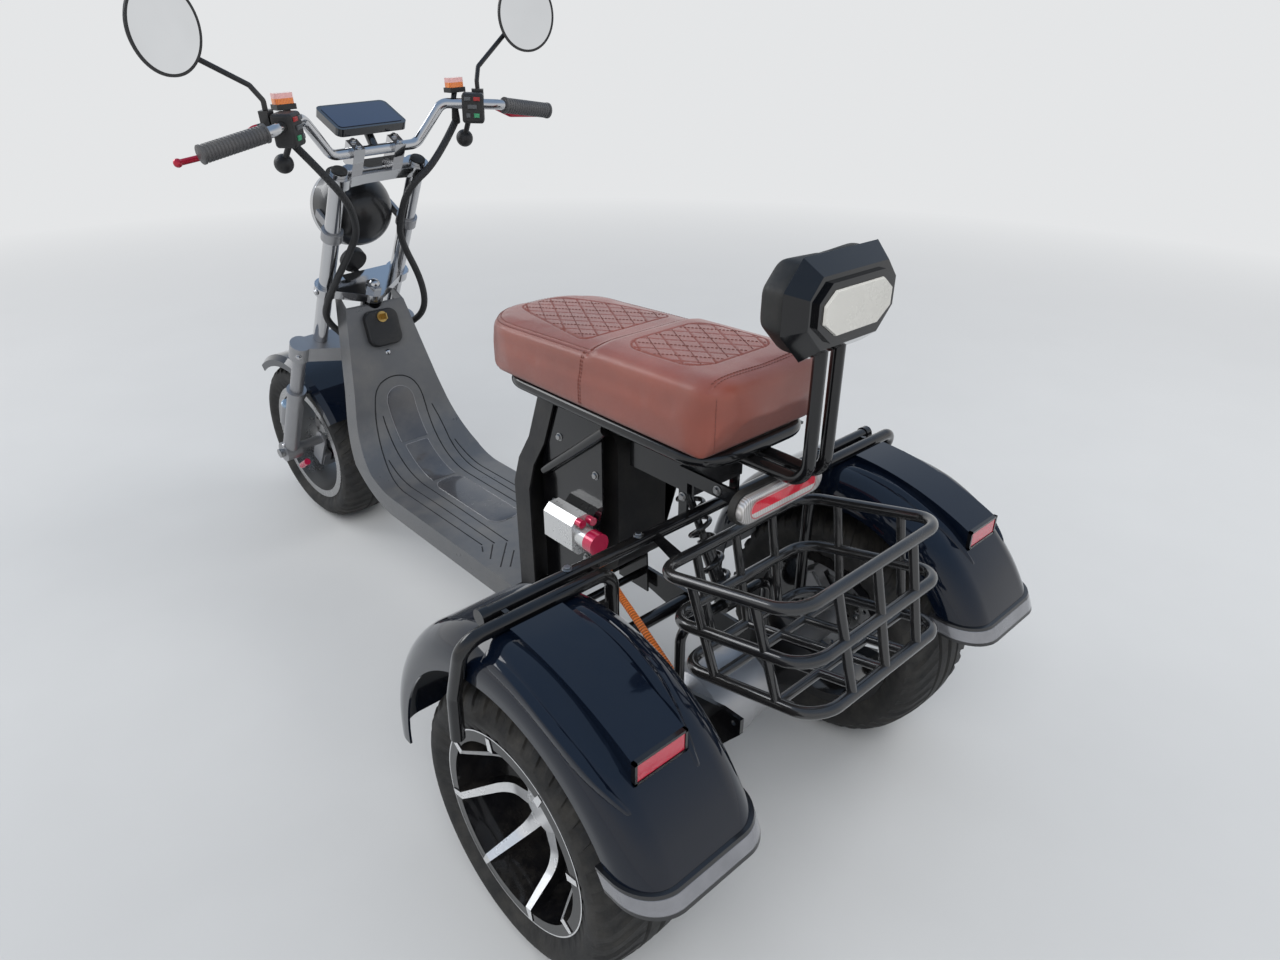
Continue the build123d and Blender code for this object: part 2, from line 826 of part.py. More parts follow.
def damper():
    """The coil over damper between the axle carrier and the seat frame, as body and coil."""
    low, high = Vector(0, *damper_low), Vector(0, *damper_high)
    length = (high - low).length
    place = Plane(origin=low, x_dir=(1, 0, 0), z_dir=high - low)
    body = Cylinder(damper_rod_radius, length, align=(Align.CENTER, Align.CENTER, Align.MIN))
    can_middle = damper_seat_inset + damper_can_length / 2
    body += Location((0, 0, can_middle)) * Cylinder(damper_radius - 11, damper_can_length)
    for z in (damper_seat_inset, length - damper_seat_inset):
        body += Location((0, 0, z)) * Cylinder(damper_radius + 3, damper_seat_depth)
    for z in (0, length):
        body += Location((0, 0, z)) * (Rot(0, 90, 0) * Cylinder(damper_pin + 7, damper_eye_width))
    bore = Rot(0, 90, 0) * Cylinder(damper_pin + fit_gap, 3 * damper_eye_width)
    for z in (0, length):
        body -= Location((0, 0, z)) * bore
    spring_low = damper_seat_inset + damper_seat_depth / 2 + fit_gap
    spring_high = length - spring_low
    pitch = (spring_high - spring_low - 2 * damper_wire) / damper_turns
    helix = Helix(pitch, pitch * damper_turns, damper_radius - damper_wire)
    start = Plane(origin=helix @ 0, z_dir=helix % 0)
    coil = sweep(start * Circle(damper_wire), path=helix, is_frenet=True)
    coil = Location((0, 0, spring_low + damper_wire)) * coil
    return place.location * body, place.location * coil


# Frame over the rear axle
def rear_frame():
    """The capped cross beam, a hoop over each fender and the stays up to the seat."""
    frame = rod((-beam_half, beam_y, beam_height), (beam_half, beam_y, beam_height), beam_radius)
    hoop = bent_tube(
        [
            (hoop_inner, hoop_y, axle_height + 12),
            (hoop_inner, hoop_y, hoop_height),
            (hoop_outer, hoop_y, hoop_height),
            (hoop_outer, hoop_y - 36, hoop_height - 110),
            (hoop_outer, hoop_y - 40, hoop_foot),
        ],
        hoop_radius,
        30,
    )
    start, end = (hoop_inner - 60, 0, axle_height), (hoop_inner + 60, 0, axle_height)
    hoop -= rod(start, end, axle_tube_radius + fit_gap)
    frame += hoop + mirror(hoop, about=Plane.YZ)
    for x in (-hoop_link_outer, -hoop_link_inner, hoop_link_inner, hoop_link_outer):
        frame += box((x - 4, x + 4), (beam_y, hoop_y), (hoop_height - 6, hoop_height + 6))
    ring_y, ring_z = basket_front()
    for side in (-1, 1):
        x = sorted((side * (stay_x + fit_gap), side * (stay_x + stay_wall)))
        frame += box(x, (beam_y - 9, beam_y + 9), (beam_height, lamp_z + 12))
        frame += box(x, (beam_y - 9, lamp_y - lamp_depth / 2 - fit_gap), (lamp_z - 12, lamp_z + 12))
        x = sorted((side * (hoop_inner + 6), side * (arch_inner - fit_gap)))
        stay_low = arch_top - fender_stay_drop
        frame += box(x, (hoop_y - 4, hoop_y + 4), (stay_low, stay_low + fender_stay_depth))
        tab = [(beam_y, beam_height - 8), (beam_y, beam_height + 8)]
        tab += [(ring_y, ring_z + 13), (ring_y, ring_z - 13)]
        place = Location((side * basket_tab_x - basket_tab_wall / 2, 0, 0))
        tab = place * extrude(side_face(tab), basket_tab_wall)
        frame += tab - rod((-200, ring_y, ring_z), (200, ring_y, ring_z), basket_tube + fit_gap)
        start = (side * (beam_half - 6), beam_y, beam_height)
        end = (side * (beam_half + 8), beam_y, beam_height)
        frame += rod(start, end, beam_radius + 2)
    return frame


def backrest_outline(half, height):
    """The backrest seen from behind: a bar with its corners cut off, drawn round the origin."""
    outline = [(half * 0.62, -height), (half, -height * 0.36), (half, height * 0.44), (half * 0.7, height)]
    outline += [(-x, z) for x, z in reversed(outline)]
    return make_face(Polyline(*outline, close=True))


def at_backrest(y):
    return Plane(origin=(0, y, backrest_centre), x_dir=(-1, 0, 0), z_dir=(0, 1, 0))


def post_holes():
    """The ends of the two posts, with clearance."""
    low, high = backrest_low - 50, backrest_low + post_reach + 1
    posts = (-post_half, post_half)
    return [rod((x, post_y, low), (x, post_y, high), post_radius + fit_gap) for x in posts]


def backrest_shell():
    """The faceted hard shell behind the pad, with a raised rim round the insert."""
    front = backrest_front + backrest_pad + fit_gap
    outline = backrest_outline(backrest_half, backrest_height / 2)
    shell = extrude(at_backrest(front) * outline, backrest_depth, taper=38)
    rim_half, rim_height = insert_half + insert_rim, insert_height / 2 + insert_rim
    outline = backrest_outline(rim_half, rim_height)
    rim = extrude(at_backrest(front) * outline, backrest_depth + insert_rise)
    return shell + rim - post_holes()


def backrest_insert():
    """The pale plate let onto the shell's rear face."""
    y = backrest_front + backrest_pad + 2 * fit_gap + backrest_depth + insert_rise
    outline = backrest_outline(insert_half, insert_height / 2)
    return extrude(at_backrest(y) * outline, insert_depth, taper=16)


def backrest_cushion():
    """The rounded pad on the backrest's front."""
    face = backrest_outline(cushion_half, backrest_height / 2 - 5)
    pad = extrude(at_backrest(backrest_front) * face, backrest_pad)
    return fillet(pad.edges().group_by(Axis.Y)[0], cushion_round) - post_holes()


def tail_lamp():
    """The long rounded lamp, as its rubber base and its lens."""
    place = Plane(origin=(0, lamp_y, lamp_z), x_dir=(-1, 0, 0), z_dir=(0, 1, 0))
    base = place * extrude(SlotOverall(lamp_length, lamp_height), -lamp_depth / 2)
    lens = extrude(SlotOverall(lamp_length - 8, lamp_height - 8), lamp_depth / 2)
    lens = place * (Location((0, 0, fit_gap)) * lens)
    return base, fillet(lens.faces().sort_by(Axis.Y)[-1].edges(), 6)


# Fenders
def arch_section(inset):
    """The fender's (X, radius) outline: flat crown, round shoulders and straight sides."""
    low, high = arch_inner + inset, arch_outer - inset
    crown = arch_radius - inset
    side_low = arch_side_radius if inset == 0 else arch_side_radius - 10
    face = make_face(Polyline((low, side_low), (low, crown), (high, crown), (high, side_low), close=True))
    return fillet(face.vertices().sort_by(Axis.Y)[-2:], arch_shoulder - inset)


def arch_solid(inset):
    centre = (0, *arch_centre)
    return revolve(plane_across(centre) * arch_section(inset), axis=Axis(centre, (1, 0, 0)))


def arch_drum(radius, low, high):
    return rod((low, *arch_centre), (high, *arch_centre), radius)


def fender():
    """The left fender: an arch with a raised panel along its crown."""
    shell = arch_solid(0) - arch_solid(arch_wall)
    ahead = box((0, 800), (-800, 0), (arch_front_cut, 900))
    behind = box((0, 800), (0, 800), (arch_rear_cut, 900))
    shell = shell & (ahead + behind)
    front = hoop_y + hoop_radius + 8
    front_top, middle = arch_top + panel_front_rise, (panel_middle_y, arch_top - panel_middle_drop)
    rise = ThreePointArc((front, front_top), middle, (panel_rear, panel_rear_top))
    low = arch_centre[1]
    outline = Polyline((panel_rear, panel_rear_top), (panel_rear, low), (front, low), (front, front_top))
    panel = extrude(Plane.YZ * make_face([rise, *outline.edges()]), panel_outer - panel_inner)
    panel = Location((panel_inner, 0, 0)) * panel
    return shell + (panel - arch_drum(arch_radius - 1, 0, 800))


def fender_trim():
    """The rubber strip along the fender's lower rear edge."""
    ring = arch_solid(-trim_step) - arch_solid(arch_wall)
    return ring & box((0, 800), (0, 800), (arch_rear_cut - trim_height, arch_rear_cut - fit_gap))


def reflector():
    y = panel_rear + fit_gap
    return box((panel_inner + 4, panel_outer - 4), (y, y + 5), (panel_rear_top - 30, panel_rear_top - 3))


# Basket
def basket_front():
    """The (Y, Z) place of the top ring's front run."""
    half, tilt = basket_length / 2, radians(basket_tilt)
    return basket_y - half * cos(tilt), basket_height - half * sin(tilt)


def basket():
    """Three rounded rings of tube, joined by uprights, with bars across the floor."""
    tilt = radians(basket_tilt)
    place = Plane(origin=(0, basket_y, basket_height), x_dir=(1, 0, 0), z_dir=(0, -sin(tilt), cos(tilt)))
    end = basket_length / 2
    low = -2 * basket_step
    halves = [basket_half - basket_taper * level for level in range(3)]
    pieces = []
    for level, half in enumerate(halves):
        z = -basket_step * level
        corners = [(half, -end, z), (half, end, z), (-half, end, z), (-half, -end, z)]
        pieces.append(bent_tube(corners, basket_tube, basket_corner, closed=True))
    thin = basket_tube - 2
    for share in (-0.52, 0, 0.52):
        for y in (-end, end):
            pieces.append(rod((share * halves[0], y, 0), (share * halves[2], y, low), thin))
    for y in (-end * 0.45, end * 0.45):
        for side in (-1, 1):
            pieces.append(rod((side * halves[0], y, 0), (side * halves[2], y, low), thin))
        pieces.append(rod((-halves[2], y, low), (halves[2], y, low), thin))
    for x in (-60, 0, 60):
        pieces.append(rod((x, -end, low), (x, end, low), thin))
    whole = pieces[0]
    for piece in pieces[1:]:
        whole += piece
    return place.location * whole


# Main switch on the neck and the bright unit beside the battery
def neck_plane(drop):
    """The plane on the neck's outer face, its Z out towards the rider."""
    lean = radians(neck_lean)
    return Plane(origin=(0, *on_neck(drop, 0)), x_dir=(-1, 0, 0), z_dir=(0, cos(lean), sin(lean)))


def lock_plate():
    """The raised black plate with the main switch."""
    plate = extrude(RectangleRounded(lock_width, lock_length, 22), lock_rise)
    plate = fillet(plate.faces().sort_by(Axis.Z)[-1].outer_wire().edges(), 5)
    plate -= Location((0, lock_offset, 0)) * Cylinder(lock_barrel + fit_gap, 100)
    return neck_plane(lock_drop).location * (Location((0, 0, fit_gap)) * plate)


def key_lock():
    """The brass lock barrel with its key."""
    height = lock_rise + 3
    barrel = Location((0, lock_offset, fit_gap + height / 2)) * Cylinder(lock_barrel, height)
    key = Location((0, lock_offset, height + 12)) * Box(3, 14, 26)
    return neck_plane(lock_drop).location * (barrel + key)


def trim_unit():
    """The bright canister on the left plate, and its red caps."""
    x = plate_inner + side_plate_wall + fit_gap
    body = box((x, x + unit_width), unit_y, unit_z)
    body = chamfer(body.edges().filter_by(Axis.Y), unit_chamfer)
    across, height = canister_place
    end = unit_y[1] + canister_reach
    body += rod((x + across, unit_y[1] - 4, height), (x + across, end, height), canister_radius)
    start, end = end + fit_gap, end + canister_cap_length
    caps = [rod((x + across, start, height), (x + across, end, height), canister_cap_radius)]
    for row in small_caps:
        start = (x + row["across"], unit_y[1] + fit_gap, row["height"])
        end = (x + row["across"], unit_y[1] + small_cap_length, row["height"])
        caps.append(rod(start, end, small_cap_radius))
    return body, Compound(caps)


def orange_conduit():
    """The ribbed sleeve from the battery's underside to the motor."""
    x, y, _ = conduit_route[0]
    points = [(x, y, battery_low - fit_gap), *conduit_route]
    drum = rod((-1, 0, axle_height), (motor_length + 1, 0, axle_height), motor_radius + fit_gap)
    return bent_tube(points, conduit_radius, conduit_bend) - drum


# Front end: fork pieces are drawn along the fork and then moved to their place
def fork_rod(x, y, low, high, radius):
    return Location((x, y, (low + high) / 2)) * Cylinder(radius, high - low)


def yoke(height, depth, reach, ring, stem_ring):
    """A fork yoke: a ring at each tube and one at the stem, joined by a web."""
    low = height - depth / 2
    side = [(reach, -ring * 0.7), (reach, ring * 0.8), (stem_ring * 0.9, stem_offset + stem_ring * 0.5)]
    outline = side + [(-x, y) for x, y in reversed(side)]
    body = Location((0, 0, low)) * extrude(make_face(Polyline(*outline, close=True)), depth)
    body += fork_rod(0, stem_offset, low, low + depth, stem_ring)
    for x in (-reach, reach):
        body += fork_rod(x, 0, low, low + depth, ring)
    return body


def crown():
    """The lower yoke, wide enough for the legs, with the steering stem that stands on it."""
    body = yoke(crown_height, crown_depth, lower_fork_half, slider_radius + 4, 30)
    top = mid_clamp_height + clamp_depth / 2 + 8
    return body + fork_rod(0, stem_offset, crown_height, top, stem_radius)


def mid_clamp():
    """The yoke over the head tube, on the fork tubes and the stem."""
    body = yoke(mid_clamp_height, clamp_depth, upper_fork_half, fork_tube_radius + 9, 27)
    low, high = mid_clamp_height - clamp_depth, mid_clamp_height + clamp_depth
    nut_foot = (0, stem_offset, mid_clamp_height + clamp_depth / 2)
    nut = Location(nut_foot) * extrude(RegularPolygon(20, 6), 16)
    for x in (-upper_fork_half, upper_fork_half):
        body -= fork_rod(x, 0, low, high, fork_bore)
    return body + nut - fork_rod(0, stem_offset, low, high, stem_radius + fit_gap)


def top_clamp():
    """The upper yoke with the two risers that hold the handlebar."""
    low, high = top_clamp_height - clamp_depth / 2, top_clamp_height + clamp_depth / 2
    half = upper_fork_half
    outline = [(-half, -16), (-40, -34), (40, -34), (half, -16)]
    outline += [(half, 20), (40, 14), (-40, 14), (-half, 20)]
    body = Location((0, 0, low)) * extrude(make_face(Polyline(*outline, close=True)), clamp_depth)
    bar = on_bar_foot()
    for side in (-1, 1):
        body += fork_rod(side * half, 0, low, high, fork_tube_radius + 9)
        body -= fork_rod(side * half, 0, low - 5, high + 5, fork_bore)
        block_low, block_high = high - 4, bar.Z + bar_radius + 8
        middle = (side * bar_riser_half, bar.Y, (block_low + block_high) / 2)
        body += Location(middle) * Box(26, 36, block_high - block_low)
    return body - Location((0, bar.Y, bar.Z)) * (Rot(0, 90, 0) * Cylinder(bar_radius + fit_gap, 400))


def fork_tubes():
    low = crown_height + crown_depth / 2 + fit_gap
    high = top_clamp_height + clamp_depth / 2 + 7
    return Compound([fork_rod(side * upper_fork_half, 0, low, high, fork_tube_radius) for side in (-1, 1)])


def fork_legs():
    """The stanchion, slider and axle lug on each side, with the reservoir beside the left one."""
    top = crown_height - crown_depth / 2 - fit_gap
    legs = []
    for side in (-1, 1):
        x = side * lower_fork_half
        leg = fork_rod(x, 0, 220, top, slider_radius - 5)
        leg += fork_rod(x, 0, 10, 250, slider_radius)
        leg += fork_rod(x, 0, 236, 256, slider_radius + 3)
        leg += Location((x, 0, 0)) * (Rot(0, 90, 0) * Cylinder(28, 44))
        if side > 0:
            leg += fork_rod(x, -slider_radius - 14, 84, 158, 15)
        bore = Rot(0, 90, 0) * Cylinder(front_axle_radius + fit_gap, 80)
        legs.append(leg - Location((x, 0, 0)) * bore)
    return Compound(legs)


def front_axle_rod():
    inner = hub_depth / 2 + 8
    reach = lower_fork_half + 22 + fit_gap
    half_profile = [
        (0, spindle_radius),
        (inner, spindle_radius),
        (inner, front_axle_radius),
        (reach, front_axle_radius),
        (reach, 13),
        (reach + 12, 13),
        (reach + 12, 0),
    ]
    profile = [(-x, r) for x, r in reversed(half_profile[1:])] + half_profile[1:]
    return turned(profile, (0, 0, 0))


def front_fender():
    """A close fender round the front tyre."""
    half = tyre_width / 2 + 11
    outer = tyre_radius + 27
    wall = 3.5
    side = [(half, outer - 30), (half, outer - 12), (half - 14, outer)]
    section = [(-x, r) for x, r in side] + list(reversed(side))
    inside = [(half - wall, outer - 30), (half - wall, outer - 14), (half - 16, outer - wall)]
    section += inside + [(-x, r) for x, r in reversed(inside)]
    ring = turned(section, (0, 0, 0))
    ahead, behind = radians(fender_front_angle), radians(fender_rear_angle)
    reach = 900
    wedge = [(0, 0), (reach * cos(behind), reach * sin(behind)), (reach, reach), (-reach, reach)]
    wedge += [(reach * cos(ahead), reach * sin(ahead))]
    arc = ring & extrude(side_face(wedge), 400, both=True)
    for side in (-1, 1):
        tab = sorted((side * (half - wall / 2), side * (lower_fork_half - 8)))
        tab = box(tab, (-13, 13), (outer - 24, outer - 12))
        arc += tab - fork_rod(side * lower_fork_half, 0, 200, 300, slider_radius + 3 + fit_gap)
    return arc


def on_bar_foot():
    """The middle run of the handlebar in the fork's own coordinates."""
    return fork_frame.to_local_coords(Vector(0, bar_foot[1], bar_foot[2]))


def handlebar():
    points = [bar_tip, bar_bend, bar_knee, bar_foot]
    points += [(-x, y, z) for x, y, z in reversed(points)]
    return bent_tube(points, bar_radius, 28)


def along(start, end, share):
    return Vector(*start) + (Vector(*end) - Vector(*start)) * share


def bar_bore():
    """The left side of the handlebar with its clearance, to cut what sits on it."""
    points = [along(bar_bend, bar_tip, 1.4), bar_bend, bar_knee, bar_foot]
    return bent_tube([tuple(p) for p in points], bar_radius + fit_gap, 28)


def grips():
    start, end = along(bar_bend, bar_tip, 0.12), along(bar_bend, bar_tip, 1.03)
    return both(rod(start, end, 17.5) - rod(start, along(bar_bend, bar_tip, 1), bar_radius + fit_gap))


def switch_frame():
    """The frame of the left switch housing: X out along the bar, Y behind it, Z up."""
    way = (Vector(*bar_bend) - Vector(*bar_knee)).normalized()
    return Plane(origin=along(bar_knee, bar_bend, 0.56), x_dir=way, z_dir=Vector(0, 0, 1) - way * way.Z)


def switches():
    """A switch housing on each side, inboard of the grip."""
    housing = switch_frame().location * (Location((0, 0, -8)) * fillet(Box(48, 44, 62).edges(), 7))
    pod_foot = switch_frame().from_local_coords(Vector(-12, -8, -34))
    housing += Location(pod_place) * Sphere(19) + rod(pod_place, pod_foot, 6)
    return both(housing - bar_bore())


def levers():
    """A brake lever in front of each grip, on its perch."""
    frame = switch_frame()
    perch = frame.location * (Location((10, -22 - fit_gap - 9, 12)) * Box(26, 18, 34))
    start = frame.from_local_coords(Vector(14, -22 - fit_gap - 9, 4))
    lever = bent_tube(
        [
            tuple(start),
            tuple(start + Vector(24, -14, -6)),
            tuple(along(bar_bend, bar_tip, 0.5) + Vector(0, -48, -18)),
            tuple(along(bar_bend, bar_tip, 1) + Vector(32, -36, -14)),
        ],
        5.5,
        12,
    )
    tip = Location(tuple(along(bar_bend, bar_tip, 1) + Vector(32, -36, -14))) * Sphere(8)
    return both(perch + lever + tip)


def indicators():
    """The indicator housings on top of the bars, and their lenses."""
    x, y, z = indicator_place
    body = box((x - 20, x + 20), (y - 13, y + 13), (z - 16, z - 6))
    body += rod((x, y, z - 12), tuple(along(bar_knee, bar_bend, 0.2)), 6)
    lens = box((x - 19, x + 19), (y - 12, y + 12), (z - 6 + fit_gap, z + 14))
    lens = fillet(lens.edges().filter_by(Axis.Z), 6)
    return both(body - bar_bore()), both(lens)


def mirror_cup():
    """A shallow cup, open towards +Z, with a flat back and a lip round the glass."""
    r, d = mirror_radius, mirror_depth
    profile = [(0, -d), (r * 0.6, -d), (r * 0.9, -d * 0.7), (r, -d * 0.2)]
    profile += [(r, 0), (r - 5, 0), (r - 5, -3), (0, -3)]
    return revolve(Plane.XZ * make_face(Polyline(*profile, close=True)), axis=Axis.Z)


def mirror_set():
    """A round mirror on its bent stalk on each side."""
    heads, glasses = [], []
    frame = switch_frame()
    foot = frame.from_local_coords(Vector(10, -22 - fit_gap - 9, 29 + fit_gap))
    for side, turn in ((1, mirror_turn_left), (-1, mirror_turn_right)):
        normal = Vector(-side * sin(radians(turn)), cos(radians(turn)), 0)
        centre = Vector(side * mirror_place[0], mirror_place[1], mirror_place[2])
        place = Plane(origin=centre, z_dir=normal)
        heads.append(place.location * mirror_cup())
        glass = Location((0, 0, -1.5)) * Cylinder(mirror_radius - 5 - fit_gap, 2)
        glasses.append(place.location * glass)
        end = centre - normal * mirror_depth
        knee = Vector(side * stalk_knee[0], *stalk_knee[1:])
        rise = Vector(side * stalk_top[0], *stalk_top[1:])
        rise = rise - normal * ((rise - centre).dot(normal) + mirror_depth + 5.5)
        start = Vector(side * foot.X, foot.Y, foot.Z)
        points = [start, start + Vector(0, 0, 16), knee, rise, end - normal * 6]
        stalk = bent_tube([tuple(point) for point in points], 5, 10)
        heads[-1] = heads[-1] + stalk + rod(tuple(end - normal * 12), tuple(end + normal * 2), 9)
    return Compound(heads), Compound(glasses)


def display():
    """The instrument panel, tilted towards the rider, on a short post."""
    lean = radians(display_tilt)
    place = Plane(origin=display_place, x_dir=(1, 0, 0), z_dir=(0, sin(lean), cos(lean)))
    case = fillet(Box(168, 98, 17).edges().filter_by(Axis.Z), 14)
    foot = (0, bar_foot[1], bar_foot[2])
    post = rod(display_place, foot, 10) - rod((-60, *foot[1:]), (60, *foot[1:]), bar_radius + fit_gap)
    return place.location * case + post


def headlamp():
    """The round bucket with its domed back, its lens, and the bracket to the fork tubes."""
    radius = headlamp_radius
    dome = Sphere(radius) & (Location((0, 0, radius)) * Box(3 * radius, 3 * radius, 2 * radius))
    bucket = dome + Location((0, 0, -14)) * Cylinder(radius, 28)
    lens = Location((0, 0, -28 - fit_gap)) * extrude(Circle(radius - 3), -14)
    lens = fillet(lens.edges().sort_by(Axis.Z)[0], 10)
    place = Plane(origin=(0, *headlamp_place), x_dir=(1, 0, 0), z_dir=(0, 1, 0.12))
    middle = fork_frame.to_local_coords(Vector(0, *headlamp_place))
    arms = []
    for side in (-1, 1):
        x = side * upper_fork_half
        low, high = middle.Z - 12, middle.Z + 12
        arm_middle = (side * (radius + fit_gap + 4), middle.Y / 2, middle.Z)
        arm = Location(arm_middle) * Box(8, abs(middle.Y) + 10, 20)
        arm += fork_rod(x, 0, low, high, fork_tube_radius + 6)
        arms.append(fork_frame.location * (arm - fork_rod(x, 0, low - 9, high + 9, fork_bore)))
    return place.location * bucket, place.location * lens, Compound(arms)


def horn():
    """The horn in front of the middle clamp."""
    x, y, z = 0, -46, mid_clamp_height + 26
    disc = Location((x, y, z)) * (Rot(90, 0, 0) * Cylinder(31, 18))
    foot = Location((x, (y - 19.5) / 2, mid_clamp_height)) * Box(14, -19.5 - y, 10)
    return disc + foot


def turned_steering(shape):
    """The piece as it stands with the steering parked."""
    return shape.rotate(steer_axis, parked_steer)


def cable_loop(points):
    """A sleeved loom from the bars, down behind the fork and into the neck.

    Its first places move with the steering and the others stay with the deck.
    """
    path = []
    for index, point in enumerate(points):
        place = Vertex(*point)
        if index < loom_turned:
            place = place.rotate(steer_axis, parked_steer)
        path.append((place.X, place.Y, place.Z))
    return bent_tube(path, loom_radius, loom_bend)


base, lens = tail_lamp()
unit, unit_caps = trim_unit()
damper_body, damper_coil = damper()
root_parts = {
    "deck": deck(),
    "main_frame": main_frame(),
    "seat_frame": seat_frame(),
    "seat": seat(),
    "riser_panel": riser(),
    "battery_box": battery_box(),
    "axle_housing": axle_housing(),
    "drive_motor": drive_motor(),
    "axle_carrier": axle_carrier(),
    "rear_calipers": rear_calipers(),
    "damper_body": damper_body,
    "damper_coil": damper_coil,
    "rear_frame": rear_frame(),
    "basket": basket(),
    "fenders": both(fender()),
    "fender_trims": both(fender_trim()),
    "reflectors": both(reflector()),
    "backrest_shell": backrest_shell(),
    "backrest_insert": backrest_insert(),
    "backrest_cushion": backrest_cushion(),
    "tail_lamp_base": base,
    "tail_lamp_lens": lens,
    "lock_plate": lock_plate(),
    "key_lock": key_lock(),
    "trim_unit": unit,
    "trim_unit_caps": unit_caps,
    "orange_conduit": orange_conduit(),
    "cable_loop_left": cable_loop(loom_left),
    "cable_loop_right": cable_loop(loom_right),
}
fork_parts = {
    "fork_crown": crown(),
    "fork_clamps": Compound([mid_clamp(), top_clamp()]),
    "fork_tubes": fork_tubes(),
    "fork_legs": fork_legs(),
    "horn": horn(),
}
indicator_bodies, indicator_lenses = indicators()
mirrors, mirror_glasses = mirror_set()
bucket, headlamp_lens, headlamp_bracket = headlamp()
steered = {name: fork_frame.location * shape for name, shape in fork_parts.items()}
steered.update(
    {
        "front_axle_rod": Location(front_axle) * front_axle_rod(),
        "front_fender": fork_frame.location * front_fender(),
        "front_caliper": front_caliper(),
        "handlebar": handlebar(),
        "grips": grips(),
        "switches": switches(),
        "levers": levers(),
        "indicator_bodies": indicator_bodies,
        "indicator_lenses": indicator_lenses,
        "mirrors": mirrors,
        "mirror_glasses": mirror_glasses,
        "display": display(),
        "headlamp_bucket": bucket,
        "headlamp_lens": headlamp_lens,
        "headlamp_bracket": headlamp_bracket,
    }
)
steered.update(wheel_pieces("front", front_axle, -1, False))
parts = dict(root_parts)
parts.update({name: turned_steering(shape) for name, shape in steered.items()})
for name, x in (("rear_left", rear_half_track), ("rear_right", -rear_half_track)):
    parts.update(wheel_pieces(name, (x, 0, axle_height), 1 if x > 0 else -1, True))

whole = Compound(list(parts.values())).bounding_box()
to_origin = Location((-(whole.min.X + whole.max.X) / 2, -(whole.min.Y + whole.max.Y) / 2, -whole.min.Z))
os.makedirs("parts", exist_ok=True)
for name, shape in parts.items():
    export_step(to_origin * shape, f"parts/{name}.step")
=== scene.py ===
"""Finishes, soft goods and trim for a three-wheeled motor scooter, in the frame of its CAD model."""

import json
from contextlib import contextmanager
from math import cos, pi, radians, sin, sqrt, tan

import bmesh
import bpy
from mathutils import Matrix, Vector
from mathutils.bvhtree import BVHTree


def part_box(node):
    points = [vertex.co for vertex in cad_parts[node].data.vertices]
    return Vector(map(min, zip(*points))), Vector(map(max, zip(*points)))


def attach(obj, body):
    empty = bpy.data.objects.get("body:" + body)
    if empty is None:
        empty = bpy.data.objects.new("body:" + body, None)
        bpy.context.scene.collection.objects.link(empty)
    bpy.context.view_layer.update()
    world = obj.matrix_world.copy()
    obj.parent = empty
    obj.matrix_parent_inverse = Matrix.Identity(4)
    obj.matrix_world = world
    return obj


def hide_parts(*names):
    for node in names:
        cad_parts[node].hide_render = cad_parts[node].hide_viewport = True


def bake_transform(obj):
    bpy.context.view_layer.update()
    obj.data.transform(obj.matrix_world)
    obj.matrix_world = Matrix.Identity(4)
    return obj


bl_info = {
    "name": "Motor Trike Finishes",
    "version": (1, 0, 0),
    "blender": (4, 5, 0),
    "location": "3D View > Sidebar > Trike",
    "description": "Dresses the packed trike with tread, upholstery, trim, cables and paint",
    "category": "Object",
}

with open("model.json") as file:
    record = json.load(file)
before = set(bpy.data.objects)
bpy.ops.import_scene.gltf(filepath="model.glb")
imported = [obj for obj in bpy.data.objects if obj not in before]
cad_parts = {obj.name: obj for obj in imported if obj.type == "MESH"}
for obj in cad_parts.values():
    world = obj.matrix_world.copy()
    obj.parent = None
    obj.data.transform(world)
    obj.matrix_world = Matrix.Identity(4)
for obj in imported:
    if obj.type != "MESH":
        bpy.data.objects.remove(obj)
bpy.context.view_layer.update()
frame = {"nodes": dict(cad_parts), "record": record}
NODES = frame["nodes"]

# X points to the vehicle's left, Y to its rear and Z up, and all sizes are in metres.
LEFT, BACK, UP = Vector((1, 0, 0)), Vector((0, 1, 0)), Vector((0, 0, 1))
SIDES = (-1, 1)
WHEELBASE = 1.527
TYRE_RADIUS = 0.2385
TYRE_HALF_WIDTH = 0.1075
FRONT_TURN = radians(4)
RAKE = radians(30.5)
# How far the steering's axis runs behind the front axle.
STEM_BEHIND = 0.048


def middle(node):
    low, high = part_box(node)
    return (low + high) / 2


REAR_AXLE = Vector((0, *middle("rear_left_rim").yz))
FORK_UP = Vector((0, sin(RAKE), cos(RAKE)))
FORK_BEHIND = Vector((0, cos(RAKE), -sin(RAKE)))
FORK_FOOT = REAR_AXLE - WHEELBASE * BACK
STEM_POINT = FORK_FOOT + STEM_BEHIND * FORK_BEHIND


def placed(x, y, z):
    """A place given from the ground below the rear axle, in the model's frame."""
    return Vector((x, y + REAR_AXLE.y, z + REAR_AXLE.z - TYRE_RADIUS))


def steered(point):
    """A place on the steering when it points straight ahead, turned to where it is parked."""
    turn = Matrix.Rotation(FRONT_TURN, 4, FORK_UP)
    return STEM_POINT + turn @ (Vector(point) - STEM_POINT)


# Settings


class TrikeTreadSettings(bpy.types.PropertyGroup):
    pitches: bpy.props.IntProperty(name="Tread Pitches", description="Blocks round one tyre", default=44, min=12)
    groove: bpy.props.FloatProperty(
        name="Groove Depth", description="Depth of the tread grooves", default=0.0045, unit="LENGTH"
    )
    inset: bpy.props.FloatProperty(
        name="Inset", description="How far the carcass stays inside its solid", default=0.0002, unit="LENGTH"
    )


